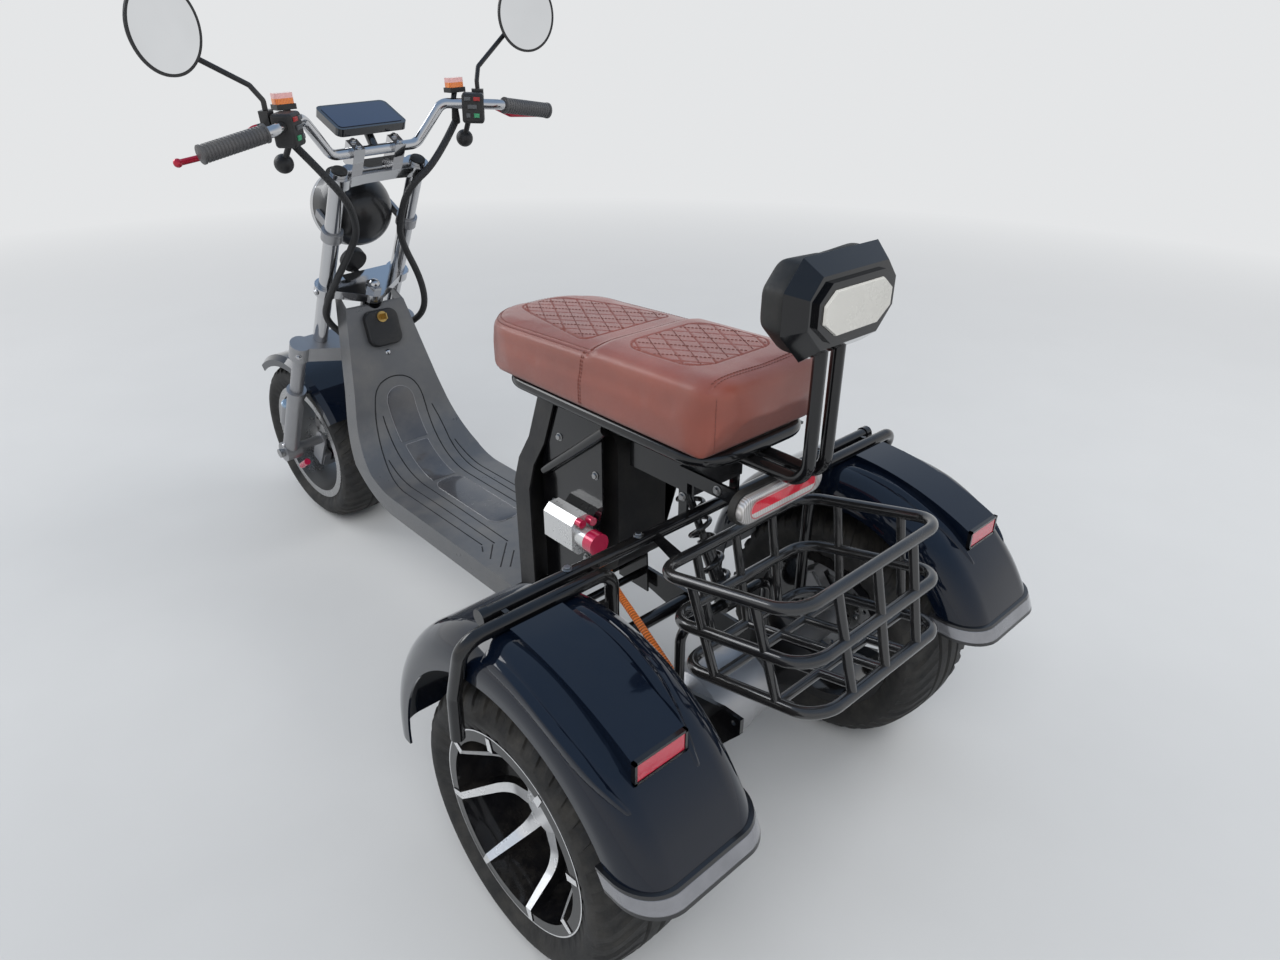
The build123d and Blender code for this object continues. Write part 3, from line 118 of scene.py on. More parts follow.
class TrikeSeatSettings(bpy.types.PropertyGroup):
    voxel: bpy.props.FloatProperty(
        name="Cloth Grain", description="Spacing of the cover's mesh while it swells", default=0.005, unit="LENGTH"
    )
    swell: bpy.props.FloatProperty(
        name="Swell", description="The furthest the cover may move out", default=0.003, unit="LENGTH"
    )
    diamond: bpy.props.FloatProperty(
        name="Quilt Pitch", description="Width of one quilted diamond", default=0.055, unit="LENGTH"
    )
    stitch_depth: bpy.props.FloatProperty(
        name="Quilt Depth", description="How deep the quilting lines sink", default=0.004, unit="LENGTH"
    )
    thread: bpy.props.FloatProperty(
        name="Stitch Length", description="Length of one stitch", default=0.0042, unit="LENGTH"
    )


class TrikeColourSettings(bpy.types.PropertyGroup):
    paint: bpy.props.FloatVectorProperty(
        name="Fender Paint",
        description="Gloss paint of the fenders",
        subtype="COLOR",
        size=3,
        default=(0.003, 0.006, 0.014),
    )
    leather: bpy.props.FloatVectorProperty(
        name="Leather", description="Cover of the seat", subtype="COLOR", size=3, default=(0.24, 0.056, 0.034)
    )
    frame_black: bpy.props.FloatVectorProperty(
        name="Frame Black",
        description="Gloss coat of the tubes",
        subtype="COLOR",
        size=3,
        default=(0.004, 0.004, 0.005),
    )
    deck_grey: bpy.props.FloatVectorProperty(
        name="Deck Grey",
        description="Moulded plastic of the deck",
        subtype="COLOR",
        size=3,
        default=(0.085, 0.088, 0.094),
    )


# Node helpers


def new_group(name, inputs, outputs, kind="ShaderNodeTree"):
    """A node group with (name, kind, default) inputs and (name, kind) outputs, and the sockets at its two ends."""
    group = bpy.data.node_groups.new(name, kind)
    for label, value, default in inputs:
        socket = group.interface.new_socket(label, in_out="INPUT", socket_type="NodeSocket" + value)
        if default is not None:
            socket.default_value = default
    for label, value in outputs:
        group.interface.new_socket(label, in_out="OUTPUT", socket_type="NodeSocket" + value)
    return group, group.nodes.new("NodeGroupInput").outputs, group.nodes.new("NodeGroupOutput").inputs


def plug(tree, source, socket):
    """Links a socket, or sets its value. A colour is given as red, green and blue."""
    if isinstance(source, bpy.types.NodeSocket):
        tree.links.new(source, socket)
    else:
        socket.default_value = (*source, 1.0) if socket.type == "RGBA" else source


def feed(tree, node, **values):
    """Links or sets a node's named sockets."""
    for label, value in values.items():
        plug(tree, value, node.inputs[label.replace("_", " ")])
    return node


def add_node(tree, kind, **values):
    return feed(tree, tree.nodes.new(kind), **values)


def noise(tree, vector, scale, detail=4.0, rough=0.55):
    node = add_node(tree, "ShaderNodeTexNoise", Vector=vector, Scale=scale, Detail=detail, Roughness=rough)
    return node.outputs["Fac"]


def maths(tree, operation, first, second=0.0, clamp=False):
    node = tree.nodes.new("ShaderNodeMath")
    node.operation = operation
    node.use_clamp = clamp
    plug(tree, first, node.inputs[0])
    plug(tree, second, node.inputs[1])
    return node.outputs[0]


def times(tree, first, second, clamp=False):
    return maths(tree, "MULTIPLY", first, second, clamp)


def stretch(tree, value, low, high, to_low=0.0, to_high=1.0):
    """A value's range from low to high, held and stretched to another."""
    limits = {"From_Min": low, "From_Max": high, "To_Min": to_low, "To_Max": to_high}
    return add_node(tree, "ShaderNodeMapRange", Value=value, **limits).outputs["Result"]


def band(tree, value, rise, fall):
    """One between a rising and a falling edge of a value, each a (start, end) pair, and nought outside."""
    return times(tree, stretch(tree, value, *rise), stretch(tree, value, *fall, 1.0, 0.0))


def ripple(tree, value, pitch):
    """A sine wave along a value."""
    return maths(tree, "SINE", times(tree, value, 2 * pi / pitch))


def parts_of(tree, vector):
    """The X, Y and Z of a vector."""
    return add_node(tree, "ShaderNodeSeparateXYZ", Vector=vector).outputs


def from_centre(tree, where, centre):
    """The X, Y and Z of object coordinates, measured from a centre."""
    shift = tree.nodes.new("ShaderNodeVectorMath")
    shift.operation = "SUBTRACT"
    shift.inputs[1].default_value = centre
    tree.links.new(where, shift.inputs[0])
    return parts_of(tree, shift.outputs[0])


def span_of(tree, first, second):
    """The length of a pair of parts."""
    return maths(tree, "SQRT", maths(tree, "ADD", times(tree, first, first), times(tree, second, second)))


def blend_colours(tree, factor, first, second):
    node = tree.nodes.new("ShaderNodeMix")
    node.data_type = "RGBA"
    for socket, source in zip((0, 6, 7), (factor, first, second)):
        plug(tree, source, node.inputs[socket])
    return node.outputs[2]


def shades(tree, factor, colour, dark, light=1.0):
    """A colour that wanders between a darker and a lighter share of itself."""
    return blend_colours(tree, factor, *([share * c for c in colour] for share in (dark, light)))


def painted_rib_shade(tree, ribs, dark, light):
    """Two shares of a ripple: a darker colour in the furrows as painted shade, a lighter one on the tops as painted
    light.
    """
    return blend_colours(tree, stretch(tree, ribs, -1.0, 1.0), dark, light)


# Shader groups


def dust_group():
    """Pale road dust that lies on upward faces and in patches, and dulls them."""
    group, given, result = new_group(
        "Road Dust",
        [("Position", "Vector", None), ("Color", "Color", (0.1, 0.1, 0.1, 1)), ("Roughness", "Float", 0.4)]
        + [("Dust Color", "Color", (0.3, 0.27, 0.22, 1)), ("Amount", "Float", 0.3), ("Scale", "Float", 9.0)],
        [("Color", "Color"), ("Roughness", "Float")],
    )
    patches = stretch(group, noise(group, given["Position"], given["Scale"], 8.0, 0.65), 0.42, 0.78)
    normal = group.nodes.new("ShaderNodeNewGeometry").outputs["Normal"]
    upward = stretch(group, parts_of(group, normal)["Z"], -0.2, 1.0, 0.35, 1.0)
    mask = times(group, times(group, patches, upward), given["Amount"], clamp=True)
    group.links.new(blend_colours(group, mask, given["Color"], given["Dust Color"]), result["Color"])
    rough = maths(group, "ADD", given["Roughness"], times(group, mask, 0.5), clamp=True)
    group.links.new(rough, result["Roughness"])
    return group


def grain_group():
    """Fine pebbles with creases between them, for leather and moulded plastic."""
    group, given, result = new_group(
        "Pebble Grain",
        [("Position", "Vector", None), ("Scale", "Float", 400.0), ("Creases", "Float", 0.5)],
        [("Height", "Float")],
    )
    cells = add_node(group, "ShaderNodeTexVoronoi", Vector=given["Position"], Scale=given["Scale"])
    cells.feature = "DISTANCE_TO_EDGE"
    pebbles = stretch(group, cells.outputs["Distance"], 0.0, 0.25)
    coarse = noise(group, given["Position"], times(group, given["Scale"], 0.12), 3.0)
    soft = times(group, coarse, given["Creases"])
    group.links.new(maths(group, "ADD", pebbles, soft), result["Height"])
    return group


def scuff_group():
    """Roughness that wanders, with fine hairline scratches."""
    group, given, result = new_group(
        "Scuffs",
        [("Position", "Vector", None), ("Scale", "Float", 14.0), ("Low", "Float", 0.1), ("High", "Float", 0.3)],
        [("Roughness", "Float")],
    )
    wide = noise(group, given["Position"], given["Scale"], 6.0, 0.7)
    fine = noise(group, given["Position"], times(group, given["Scale"], 18.0), 2.0)
    both = maths(group, "ADD", times(group, wide, 0.75), times(group, fine, 0.25))
    mask = stretch(group, both, 0.35, 0.7)
    group.links.new(stretch(group, mask, 0.0, 1.0, given["Low"], given["High"]), result["Roughness"])
    return group


def weave_group():
    """The criss-cross of a braided sleeve, on a tube's own length and turn."""
    group, given, result = new_group(
        "Braid",
        [("Along", "Vector", None), ("Strands", "Float", 10.0), ("Pitch", "Float", 300.0)],
        [("Height", "Float")],
    )
    lanes = parts_of(group, given["Along"])
    turns, rows = times(group, lanes["X"], given["Strands"]), times(group, lanes["Y"], given["Pitch"])
    left, right = (ripple(group, maths(group, way, turns, rows), 1.0) for way in ("ADD", "SUBTRACT"))
    group.links.new(maths(group, "MAXIMUM", left, right), result["Height"])
    return group


GROUPS = {}


def group_outputs(tree, key, **values):
    """The outputs of a shader group that is placed in a material with its own values."""
    node = tree.nodes.new("ShaderNodeGroup")
    node.node_tree = GROUPS[key]
    return feed(tree, node, **values).outputs


# Materials


def blank_material(name, **shader):
    """A material with a bare Principled shader, its constants on its own sockets."""
    material = bpy.data.materials.new(name)
    material.use_nodes = True
    tree = material.node_tree
    tree.nodes.clear()
    bsdf = add_node(tree, "ShaderNodeBsdfPrincipled", **shader)
    tree.links.new(bsdf.outputs[0], tree.nodes.new("ShaderNodeOutputMaterial").inputs[0])
    coords = tree.nodes.new("ShaderNodeTexCoord")
    return material, tree, bsdf, coords.outputs["Object"]


def bump(tree, bsdf, height, distance, strength=1.0):
    node = add_node(tree, "ShaderNodeBump", Height=height, Distance=distance, Strength=strength)
    tree.links.new(node.outputs[0], bsdf.inputs["Normal"])


def grained(tree, bsdf, where, scale, creases, distance, strength):
    """Raises pebble grain on a material."""
    pebbles = group_outputs(tree, "grain", Position=where, Scale=scale, Creases=creases)
    bump(tree, bsdf, pebbles["Height"], distance, strength)


def scuffed(tree, where, scale, low, high):
    """A roughness that wanders between two values."""
    return group_outputs(tree, "scuffs", Position=where, Scale=scale, Low=low, High=high)["Roughness"]


def dusted(tree, where, colour, rough, amount, scale):
    """The colour and the roughness of a surface under road dust."""
    dust = group_outputs(tree, "dust", Position=where, Color=colour, Roughness=rough, Amount=amount, Scale=scale)
    return {"Base_Color": dust["Color"], "Roughness": dust["Roughness"]}


def painted(name, colour, low, high, dust=0.15, coat=1.0, metallic=0.0, scale=12.0, speckle=0.0, shine=0.5):
    """Paint or plating: wandering roughness, a little dust and a clear coat."""
    material, tree, bsdf, where = blank_material(
        name, Metallic=metallic, Coat_Weight=coat, Coat_Roughness=0.06, Specular_IOR_Level=shine
    )
    base = shades(tree, noise(tree, where, 5.0, 3.0), colour, 0.8)
    feed(tree, bsdf, **dusted(tree, where, base, scuffed(tree, where, scale, low, high), dust, 8.0))
    if speckle:
        bump(tree, bsdf, noise(tree, where, 900.0, 2.0), speckle, 0.4)
    return material


def moulded(name, colour, low, high, scale=900.0, dust=0.25, coat=0.0):
    """Moulded plastic or rubber with a fine grain."""
    material, tree, bsdf, where = blank_material(name, Coat_Weight=coat, Coat_Roughness=0.28)
    base = shades(tree, noise(tree, where, 7.0, 5.0), colour, 0.75)
    feed(tree, bsdf, **dusted(tree, where, base, scuffed(tree, where, 10.0, low, high), dust, 11.0))
    grained(tree, bsdf, where, scale, 0.4, 0.00006, 0.6)
    return material


def leather(colour):
    """Red-brown leather: pebbled, rubbed lighter in patches."""
    material, tree, bsdf, where = blank_material(
        "seat_leather", Coat_Weight=0.5, Coat_Roughness=0.26, Sheen_Weight=0.12
    )
    worn = stretch(tree, noise(tree, where, 6.0, 6.0, 0.6), 0.35, 0.75)
    rough = scuffed(tree, where, 18.0, 0.34, 0.52)
    feed(tree, bsdf, **dusted(tree, where, shades(tree, worn, colour, 0.82, 1.16), rough, 0.07, 14.0))
    grained(tree, bsdf, where, 620.0, 0.8, 0.00022, 0.7)
    return material


def tread_rubber():
    """Tyre rubber: mottled, and browned with dust."""
    material, tree, bsdf, where = blank_material("tyre_rubber")
    base = blend_colours(tree, noise(tree, where, 16.0, 6.0), (0.007, 0.007, 0.007), (0.02, 0.019, 0.018))
    feed(tree, bsdf, **dusted(tree, where, base, scuffed(tree, where, 22.0, 0.6, 0.85), 0.18, 20.0))
    bump(tree, bsdf, noise(tree, where, 420.0, 4.0), 0.0003, 0.5)
    return material


def tube_lanes(tree):
    """A tube's own UV map: the turn round it and the length along it."""
    lanes = tree.nodes.new("ShaderNodeUVMap")
    lanes.uv_map = "tube"
    return lanes.outputs[0]


def braided(name, colour):
    """A braided sleeve of dark thread."""
    material, tree, bsdf, where = blank_material(name, Roughness=0.55)
    braid = group_outputs(tree, "braid", Along=tube_lanes(tree), Strands=6.0, Pitch=120.0)
    feed(tree, bsdf, Base_Color=shades(tree, noise(tree, where, 60.0, 3.0), colour, 0.6))
    bump(tree, bsdf, braid["Height"], 0.0005, 0.8)
    return material


def ribbed_sleeve(name, colour, pitch):
    """A corrugated sleeve, with painted shade between its ribs."""
    material, tree, bsdf, where = blank_material(name)
    ribs = ripple(tree, parts_of(tree, tube_lanes(tree))["Y"], pitch)
    # Darker between the ribs: painted shade in the furrows.
    base = shades(tree, stretch(tree, ribs, -1.0, 0.4), colour, 0.5)
    feed(tree, bsdf, **dusted(tree, where, base, 0.42, 0.3, 30.0))
    bump(tree, bsdf, ribs, 0.0012, 1.0)
    return material


def lamp_lens():
    """The tail lamp's lens: a red bar in a clear, silvered surround with fine ribs."""
    material, tree, bsdf, where = blank_material(
        "tail_lamp_lens", Coat_Weight=1.0, Coat_Roughness=0.03, Roughness=0.18
    )
    bar_half, bar_foot, rib_pitch = 0.062, (-0.0055, -0.0045), 0.004
    parts = from_centre(tree, where, middle("tail_lamp_lens"))
    beyond = maths(tree, "MAXIMUM", maths(tree, "SUBTRACT", maths(tree, "ABSOLUTE", parts["X"]), bar_half), 0.0)
    reach = span_of(tree, beyond, parts["Z"])
    red = times(tree, stretch(tree, reach, 0.0125, 0.0135, 1.0, 0.0), stretch(tree, parts["Z"], *bar_foot))
    ribs = ripple(tree, parts["X"], rib_pitch)
    # The surround is painted darker in the ribs' furrows and lighter on their tops: painted shade and light.
    pale = painted_rib_shade(tree, ribs, (0.42, 0.4, 0.38), (0.75, 0.72, 0.7))
    line = band(tree, reach, (0.0135, 0.0145), (0.0155, 0.017))
    rim = blend_colours(tree, line, pale, (0.5, 0.12, 0.12))
    feed(
        tree,
        bsdf,
        Base_Color=blend_colours(tree, red, rim, (0.75, 0.02, 0.045)),
        Metallic=stretch(tree, reach, 0.012, 0.018, 0.0, 0.5),
    )
    bump(tree, bsdf, ribs, 0.0004, 0.6)
    return material


def machined_rim(node, side):
    """Gloss black rim whose spoke faces, hub cap and lip edge are cut bright."""
    material, tree, bsdf, where = blank_material(
        node + "_machined", Coat_Weight=0.5, Coat_Roughness=0.05, Specular_IOR_Level=0.2
    )
    parts = from_centre(tree, where, middle(node))
    radius = span_of(tree, parts["Y"], parts["Z"])
    normal = parts_of(tree, tree.nodes.new("ShaderNodeNewGeometry").outputs["Normal"])
    faces_out = stretch(tree, times(tree, normal["X"], side), 0.3, 0.36)
    spokes = stretch(tree, radius, 0.1462, 0.1468, 1.0, 0.0)
    lip = band(tree, radius, (0.1652, 0.1656), (0.1672, 0.1676))
    reach = (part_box(node)[1][0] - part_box(node)[0][0]) / 2
    proud = stretch(tree, times(tree, parts["X"], side), reach - 0.0011, reach - 0.0005)
    places = maths(tree, "MAXIMUM", maths(tree, "MAXIMUM", spokes, lip), proud)
    bright = times(tree, faces_out, places, clamp=True)
    silver = blend_colours(tree, noise(tree, where, 300.0, 2.0), (0.66, 0.66, 0.66), (0.85, 0.85, 0.85))
    black = dusted(tree, where, (0.006, 0.006, 0.007), 0.14, 0.12, 14.0)
    feed(
        tree,
        bsdf,
        Base_Color=blend_colours(tree, bright, black["Base_Color"], silver),
        Metallic=times(tree, bright, 0.55),
        Roughness=maths(tree, "ADD", black["Roughness"], times(tree, bright, 0.12)),
    )
    return material


def lever_finish():
    """Anodised red levers on black perches."""
    material, tree, bsdf, where = blank_material("lever_red_and_black", Coat_Weight=0.4)
    perch_edge = (0.272, 0.274)
    red = stretch(tree, maths(tree, "ABSOLUTE", parts_of(tree, where)["X"]), *perch_edge)
    feed(
        tree,
        bsdf,
        Base_Color=blend_colours(tree, red, (0.012, 0.012, 0.013), (0.45, 0.01, 0.035)),
        Roughness=scuffed(tree, where, 20.0, 0.22, 0.4),
        Metallic=times(tree, red, 0.5),
    )
    return material


def edged_trim():
    """The fender's rubber strip: a polished grey band between two black edges."""
    material, tree, bsdf, where = blank_material("edged_trim_strip", Coat_Weight=0.8, Coat_Roughness=0.08)
    low, high = (corner.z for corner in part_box("fender_trims"))
    polished = band(tree, parts_of(tree, where)["Z"], (low + 0.0045, low + 0.0055), (high - 0.0055, high - 0.0045))
    grey = blend_colours(tree, noise(tree, where, 26.0, 5.0), (0.16, 0.163, 0.175), (0.34, 0.34, 0.36))
    feed(
        tree,
        bsdf,
        Base_Color=blend_colours(tree, polished, (0.006, 0.006, 0.007), grey),
        Roughness=stretch(tree, polished, 0.0, 1.0, 0.45, 0.2),
        Metallic=times(tree, polished, 0.6),
    )
    bump(tree, bsdf, polished, 0.0012, 0.8)
    return material


def two_tone_lens():
    """An indicator lens: amber with fine ribs below, clear with a pink cast above."""
    material, tree, bsdf, where = blank_material(
        "two_tone_indicator", Coat_Weight=1.0, Coat_Roughness=0.03, Roughness=0.15
    )
    parts = from_centre(tree, where, middle("indicator_lenses"))
    level = maths(tree, "ADD", parts["Z"], times(tree, parts["X"], sin(FRONT_TURN) * sin(RAKE)))
    top = stretch(tree, level, 0.0, 0.0008)
    ribs = ripple(tree, parts["X"], 0.003)
    # The amber is painted darker in the ribs' furrows and lighter on their tops: painted shade and light.
    amber = painted_rib_shade(tree, ribs, (0.55, 0.1, 0.006), (0.85, 0.24, 0.02))
    feed(tree, bsdf, Base_Color=blend_colours(tree, top, amber, (0.75, 0.4, 0.38)))
    bump(tree, bsdf, ribs, 0.0003, 0.6)
    return material


def lamp_glass():
    """The headlamp's front: a silvered reflector with fine flutes and a small bulb under clear glass."""
    material, tree, bsdf, where = blank_material(
        "headlamp_reflector", Coat_Weight=1.0, Coat_Roughness=0.02, Roughness=0.16
    )
    parts = from_centre(tree, where, middle("headlamp_lens"))
    bulb = stretch(tree, span_of(tree, parts["X"], parts["Z"]), 0.016, 0.02, 1.0, 0.0)
    flutes = ripple(tree, parts["X"], 0.006)
    # The silver is painted darker in the flutes' furrows and lighter on their tops: painted shade and light.
    silver = painted_rib_shade(tree, flutes, (0.5, 0.51, 0.52), (0.8, 0.81, 0.82))
    feed(
        tree,
        bsdf,
        Base_Color=blend_colours(tree, bulb, silver, (0.9, 0.88, 0.8)),
        Metallic=stretch(tree, bulb, 0.0, 1.0, 0.9, 0.0),
    )
    bump(tree, bsdf, flutes, 0.0004, 0.7)
    return material


FINISHES = {}


def make_finishes():
    colours = bpy.context.scene.trike_colours
    GROUPS.update(dust=dust_group(), grain=grain_group(), scuffs=scuff_group(), braid=weave_group())
    black, deck, paint = tuple(colours.frame_black), tuple(colours.deck_grey), tuple(colours.paint)
    FINISHES.update(
        black_paint=painted("frame_black", black, 0.1, 0.26, dust=0.05, coat=0.6, shine=0.25),
        blue_paint=painted("fender_paint", paint, 0.02, 0.06, dust=0.008, coat=0.8, scale=4.0, shine=0.1),
        shell_gloss=painted("gloss_black_shell", black, 0.05, 0.15, dust=0.02, coat=0.7, scale=6.0, shine=0.2),
        black_plastic=moulded("black_moulding", (0.012, 0.012, 0.013), 0.38, 0.6, dust=0.18),
        deck_plastic=moulded("deck_moulding", deck, 0.26, 0.42, scale=700.0, dust=0.3, coat=0.5),
        deck_panel=painted("deck_panel_gloss", (0.055, 0.055, 0.06), 0.1, 0.3, dust=0.25, coat=0.6),
        # Near-black tubes in the deck's grooves: painted shade.
        deck_groove=moulded("deck_groove_shadow", (0.006, 0.006, 0.007), 0.55, 0.8, dust=0.1),
        rubber=moulded("soft_rubber", (0.01, 0.01, 0.01), 0.5, 0.75, scale=500.0, dust=0.15),
        seat_leather=leather(tuple(colours.leather)),
        thread=moulded("stitch_thread", (0.2, 0.07, 0.055), 0.6, 0.8, dust=0.0),
        tyre_rubber=tread_rubber(),
        chrome=painted("bright_chrome", (0.62, 0.62, 0.63), 0.04, 0.2, dust=0.05, coat=0.0, metallic=1.0),
        steel=painted("machined_steel", (0.42, 0.42, 0.42), 0.22, 0.45, dust=0.1, coat=0.0, metallic=1.0, scale=60.0),
        cast_grey=painted("cast_alloy", (0.4, 0.4, 0.41), 0.3, 0.5, dust=0.12, coat=0.0, metallic=0.8, speckle=0.0002),
        rim_alloy=painted("rim_alloy", (0.42, 0.42, 0.42), 0.2, 0.4, dust=0.25, coat=0.3, metallic=0.9),
        brass=painted("worn_brass", (0.5, 0.34, 0.12), 0.2, 0.4, dust=0.1, coat=0.0, metallic=1.0, scale=80.0),
        mirror=painted("silvered_glass", (0.85, 0.86, 0.87), 0.01, 0.03, dust=0.0, coat=0.0, metallic=1.0),
        cream_plastic=moulded("cream_insert", (0.72, 0.7, 0.64), 0.2, 0.34, scale=300.0, dust=0.04),
        red_plastic=painted("reflector_red", (0.6, 0.012, 0.045), 0.1, 0.2, dust=0.02),
        red_cap=painted("anodised_red", (0.66, 0.015, 0.085), 0.15, 0.3, dust=0.03, metallic=0.3),
        lamp_lens=lamp_lens(),
        bright_cap=painted("bright_canister", (0.75, 0.75, 0.74), 0.22, 0.38, dust=0.05, metallic=0.6),
        orange_sleeve=ribbed_sleeve("orange_sleeve", (1.0, 0.24, 0.03), 1 / 190),
        loom=braided("braided_loom", (0.02, 0.02, 0.021)),
        panel_rim=painted("panel_edge", (0.2, 0.2, 0.21), 0.1, 0.25, dust=0.05),
        button_grey=moulded("button_grey", (0.09, 0.095, 0.1), 0.35, 0.5, dust=0.05),
        button_red=moulded("button_red", (0.35, 0.03, 0.03), 0.35, 0.5, dust=0.05),
        button_green=moulded("button_green", (0.05, 0.3, 0.14), 0.35, 0.5, dust=0.05),
        trim_grey=edged_trim(),
        satin_black=painted("satin_black", (0.008, 0.008, 0.009), 0.3, 0.42, dust=0.05, coat=0.3),
        grip_rubber=moulded("grip_rubber", (0.07, 0.07, 0.073), 0.34, 0.5, scale=500.0, dust=0.2),
        black_chrome=painted("black_spring_steel", (0.012, 0.012, 0.013), 0.12, 0.3, dust=0.08, coat=0.6),
        navy_glass=painted("display_face", (0.004, 0.012, 0.045), 0.02, 0.05, dust=0.02),
        indicator=two_tone_lens(),
        pale_blue_cap=painted("pale_blue_cap", (0.3, 0.42, 0.55), 0.15, 0.3, dust=0.05, metallic=0.4),
        rim_black=machined_rim("rear_left_rim", 1),
        rim_black_right=machined_rim("rear_right_rim", -1),
        lever=lever_finish(),
        reflector=lamp_glass(),
        screen=painted("display_glass", (0.006, 0.007, 0.009), 0.02, 0.06, dust=0.02),
    )


# Mesh helpers


def linked(name, data):
    """A new object of the scene."""
    item = bpy.data.objects.new(name, data)
    bpy.context.scene.collection.objects.link(item)
    return item


def evaluated_mesh(item):
    """An object's mesh with its modifiers applied."""
    return bpy.data.meshes.new_from_object(item.evaluated_get(bpy.context.evaluated_depsgraph_get()))


def add_object(name, mesh, finish, body, replaces=(), smooth=True):
    """Links a finished mesh as a piece that rides on a body."""
    piece = linked(name, mesh)
    mesh.materials.clear()
    mesh.materials.append(FINISHES[finish])
    if smooth:
        mesh.shade_smooth()
    if body:
        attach(piece, body)
    if replaces:
        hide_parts(*replaces)
    return piece


def add_edged(name, meshes, finish, body, degrees=40, replaces=()):
    """Joins meshes into a piece that is shaded smooth but for its sharp edges."""
    add_object(name, sharp_by_angle(joined(meshes), degrees), finish, body, replaces, False)


def mesh_of(vertices, faces, name="shape"):
    mesh = bpy.data.meshes.new(name)
    mesh.from_pydata([tuple(v) for v in vertices], [], faces)
    mesh.update()
    return mesh


@contextmanager
def editing(mesh):
    """A mesh opened for editing, and written back at the end."""
    work = bmesh.new()
    work.from_mesh(mesh)
    yield work
    work.to_mesh(mesh)
    work.free()


def smoothed(work, rounds):
    for _ in range(rounds):
        bmesh.ops.smooth_vert(work, verts=work.verts, factor=0.5, use_axis_x=True, use_axis_y=True, use_axis_z=True)


def outward(mesh):
    """Turns every face of a closed mesh outwards."""
    with editing(mesh) as work:
        bmesh.ops.remove_doubles(work, verts=work.verts, dist=1e-6)
        bmesh.ops.recalc_face_normals(work, faces=work.faces)
    return mesh


def sharp_by_angle(mesh, degrees):
    mesh.shade_smooth()
    mesh.set_sharp_from_angle(angle=radians(degrees))
    return mesh


def welded_copy(node):
    """The node's solid as one welded mesh of its own."""
    mesh = NODES[node].data.copy()
    with editing(mesh) as work:
        bmesh.ops.remove_doubles(work, verts=work.verts, dist=1e-5)
    mesh.materials.clear()
    return mesh


def strip(first, second, count, closed=True):
    """Faces between two rows of vertices, given by the numbers their rows start at."""
    steps = range(count if closed else count - 1)
    return [(first + k, first + (k + 1) % count, second + (k + 1) % count, second + k) for k in steps]


def lofted(rings):
    """A closed mesh through rings of as many places each, with a face at both ends."""
    count, last = len(rings[0]), len(rings[0]) * (len(rings) - 1)
    faces = [tuple(reversed(range(count))), tuple(range(last, last + count))]
    for start in range(0, last, count):
        faces += strip(start, start + count, count)
    return outward(mesh_of([place for ring in rings for place in ring], faces))


def spline_points(route):
    """Close points along the smooth line that a route's points control."""
    curve = bpy.data.curves.new("route", "CURVE")
    curve.dimensions = "3D"
    curve.resolution_u = 12
    line = curve.splines.new("NURBS")
    line.points.add(len(route) - 1)
    for point, place in zip(line.points, route):
        point.co = (*place, 1.0)
    line.order_u = 3
    line.use_endpoint_u = True
    holder = bpy.data.objects.new("route", curve)
    mesh = bpy.data.meshes.new_from_object(holder)
    points = [v.co.copy() for v in mesh.vertices]
    bpy.data.objects.remove(holder)
    bpy.data.curves.remove(curve)
    bpy.data.meshes.remove(mesh)
    return points


def tube_mesh(points, radius, sides=20):
    """A capped tube along points, with a UV map of (turn, length in metres) called tube."""
    count = len(points)
    side = (points[1] - points[0]).normalized().orthogonal().normalized()
    vertices, lengths = [], []
    for i, point in enumerate(points):
        before, after = points[max(i - 1, 0)], points[min(i + 1, count - 1)]
        way = (after - before).normalized()
        side = (side - way * side.dot(way)).normalized()
        up = way.cross(side)
        lengths.append(lengths[-1] + (point - before).length if i else 0.0)
        turns = [2 * pi * k / sides for k in range(sides)]
        vertices += [point + radius * (cos(turn) * side + sin(turn) * up) for turn in turns]
    faces, coords = [], []
    for i in range(count - 1):
        faces += strip(i * sides, (i + 1) * sides, sides)
        near, far = lengths[i], lengths[i + 1]
        for k in range(sides):
            coords += [(k / sides, near), ((k + 1) / sides, near), ((k + 1) / sides, far), (k / sides, far)]
    faces.append(tuple(reversed(range(sides))))
    faces.append(tuple((count - 1) * sides + k for k in range(sides)))
    coords += [(0.0, 0.0)] * sides + [(0.0, lengths[-1])] * sides
    mesh = mesh_of(vertices, faces, "tube")
    layer = mesh.uv_layers.new(name="tube")
    for loop, coord in zip(layer.data, coords):
        loop.uv = coord
    return mesh


def joined(meshes):
    """Several meshes as one."""
    work = bmesh.new()
    for mesh in meshes:
        work.from_mesh(mesh)
    made = bpy.data.meshes.new("joined")
    work.to_mesh(made)
    work.free()
    return made


def turned_mesh(profile, centre, axis, steps=32):
    """A closed (along, radius) profile turned round an axis through a centre."""
    axis = Vector(axis).normalized()
    side = axis.orthogonal().normalized()
    up = axis.cross(side)
    vertices, faces, count = [], [], len(profile)
    for i in range(steps):
        turn = 2 * pi * i / steps
        out = cos(turn) * side + sin(turn) * up
        vertices += [Vector(centre) + axis * a + out * r for a, r in profile]
        faces += strip(i * count, (i + 1) % steps * count, count)
    return outward(mesh_of(vertices, faces))


# Geometry Nodes helpers


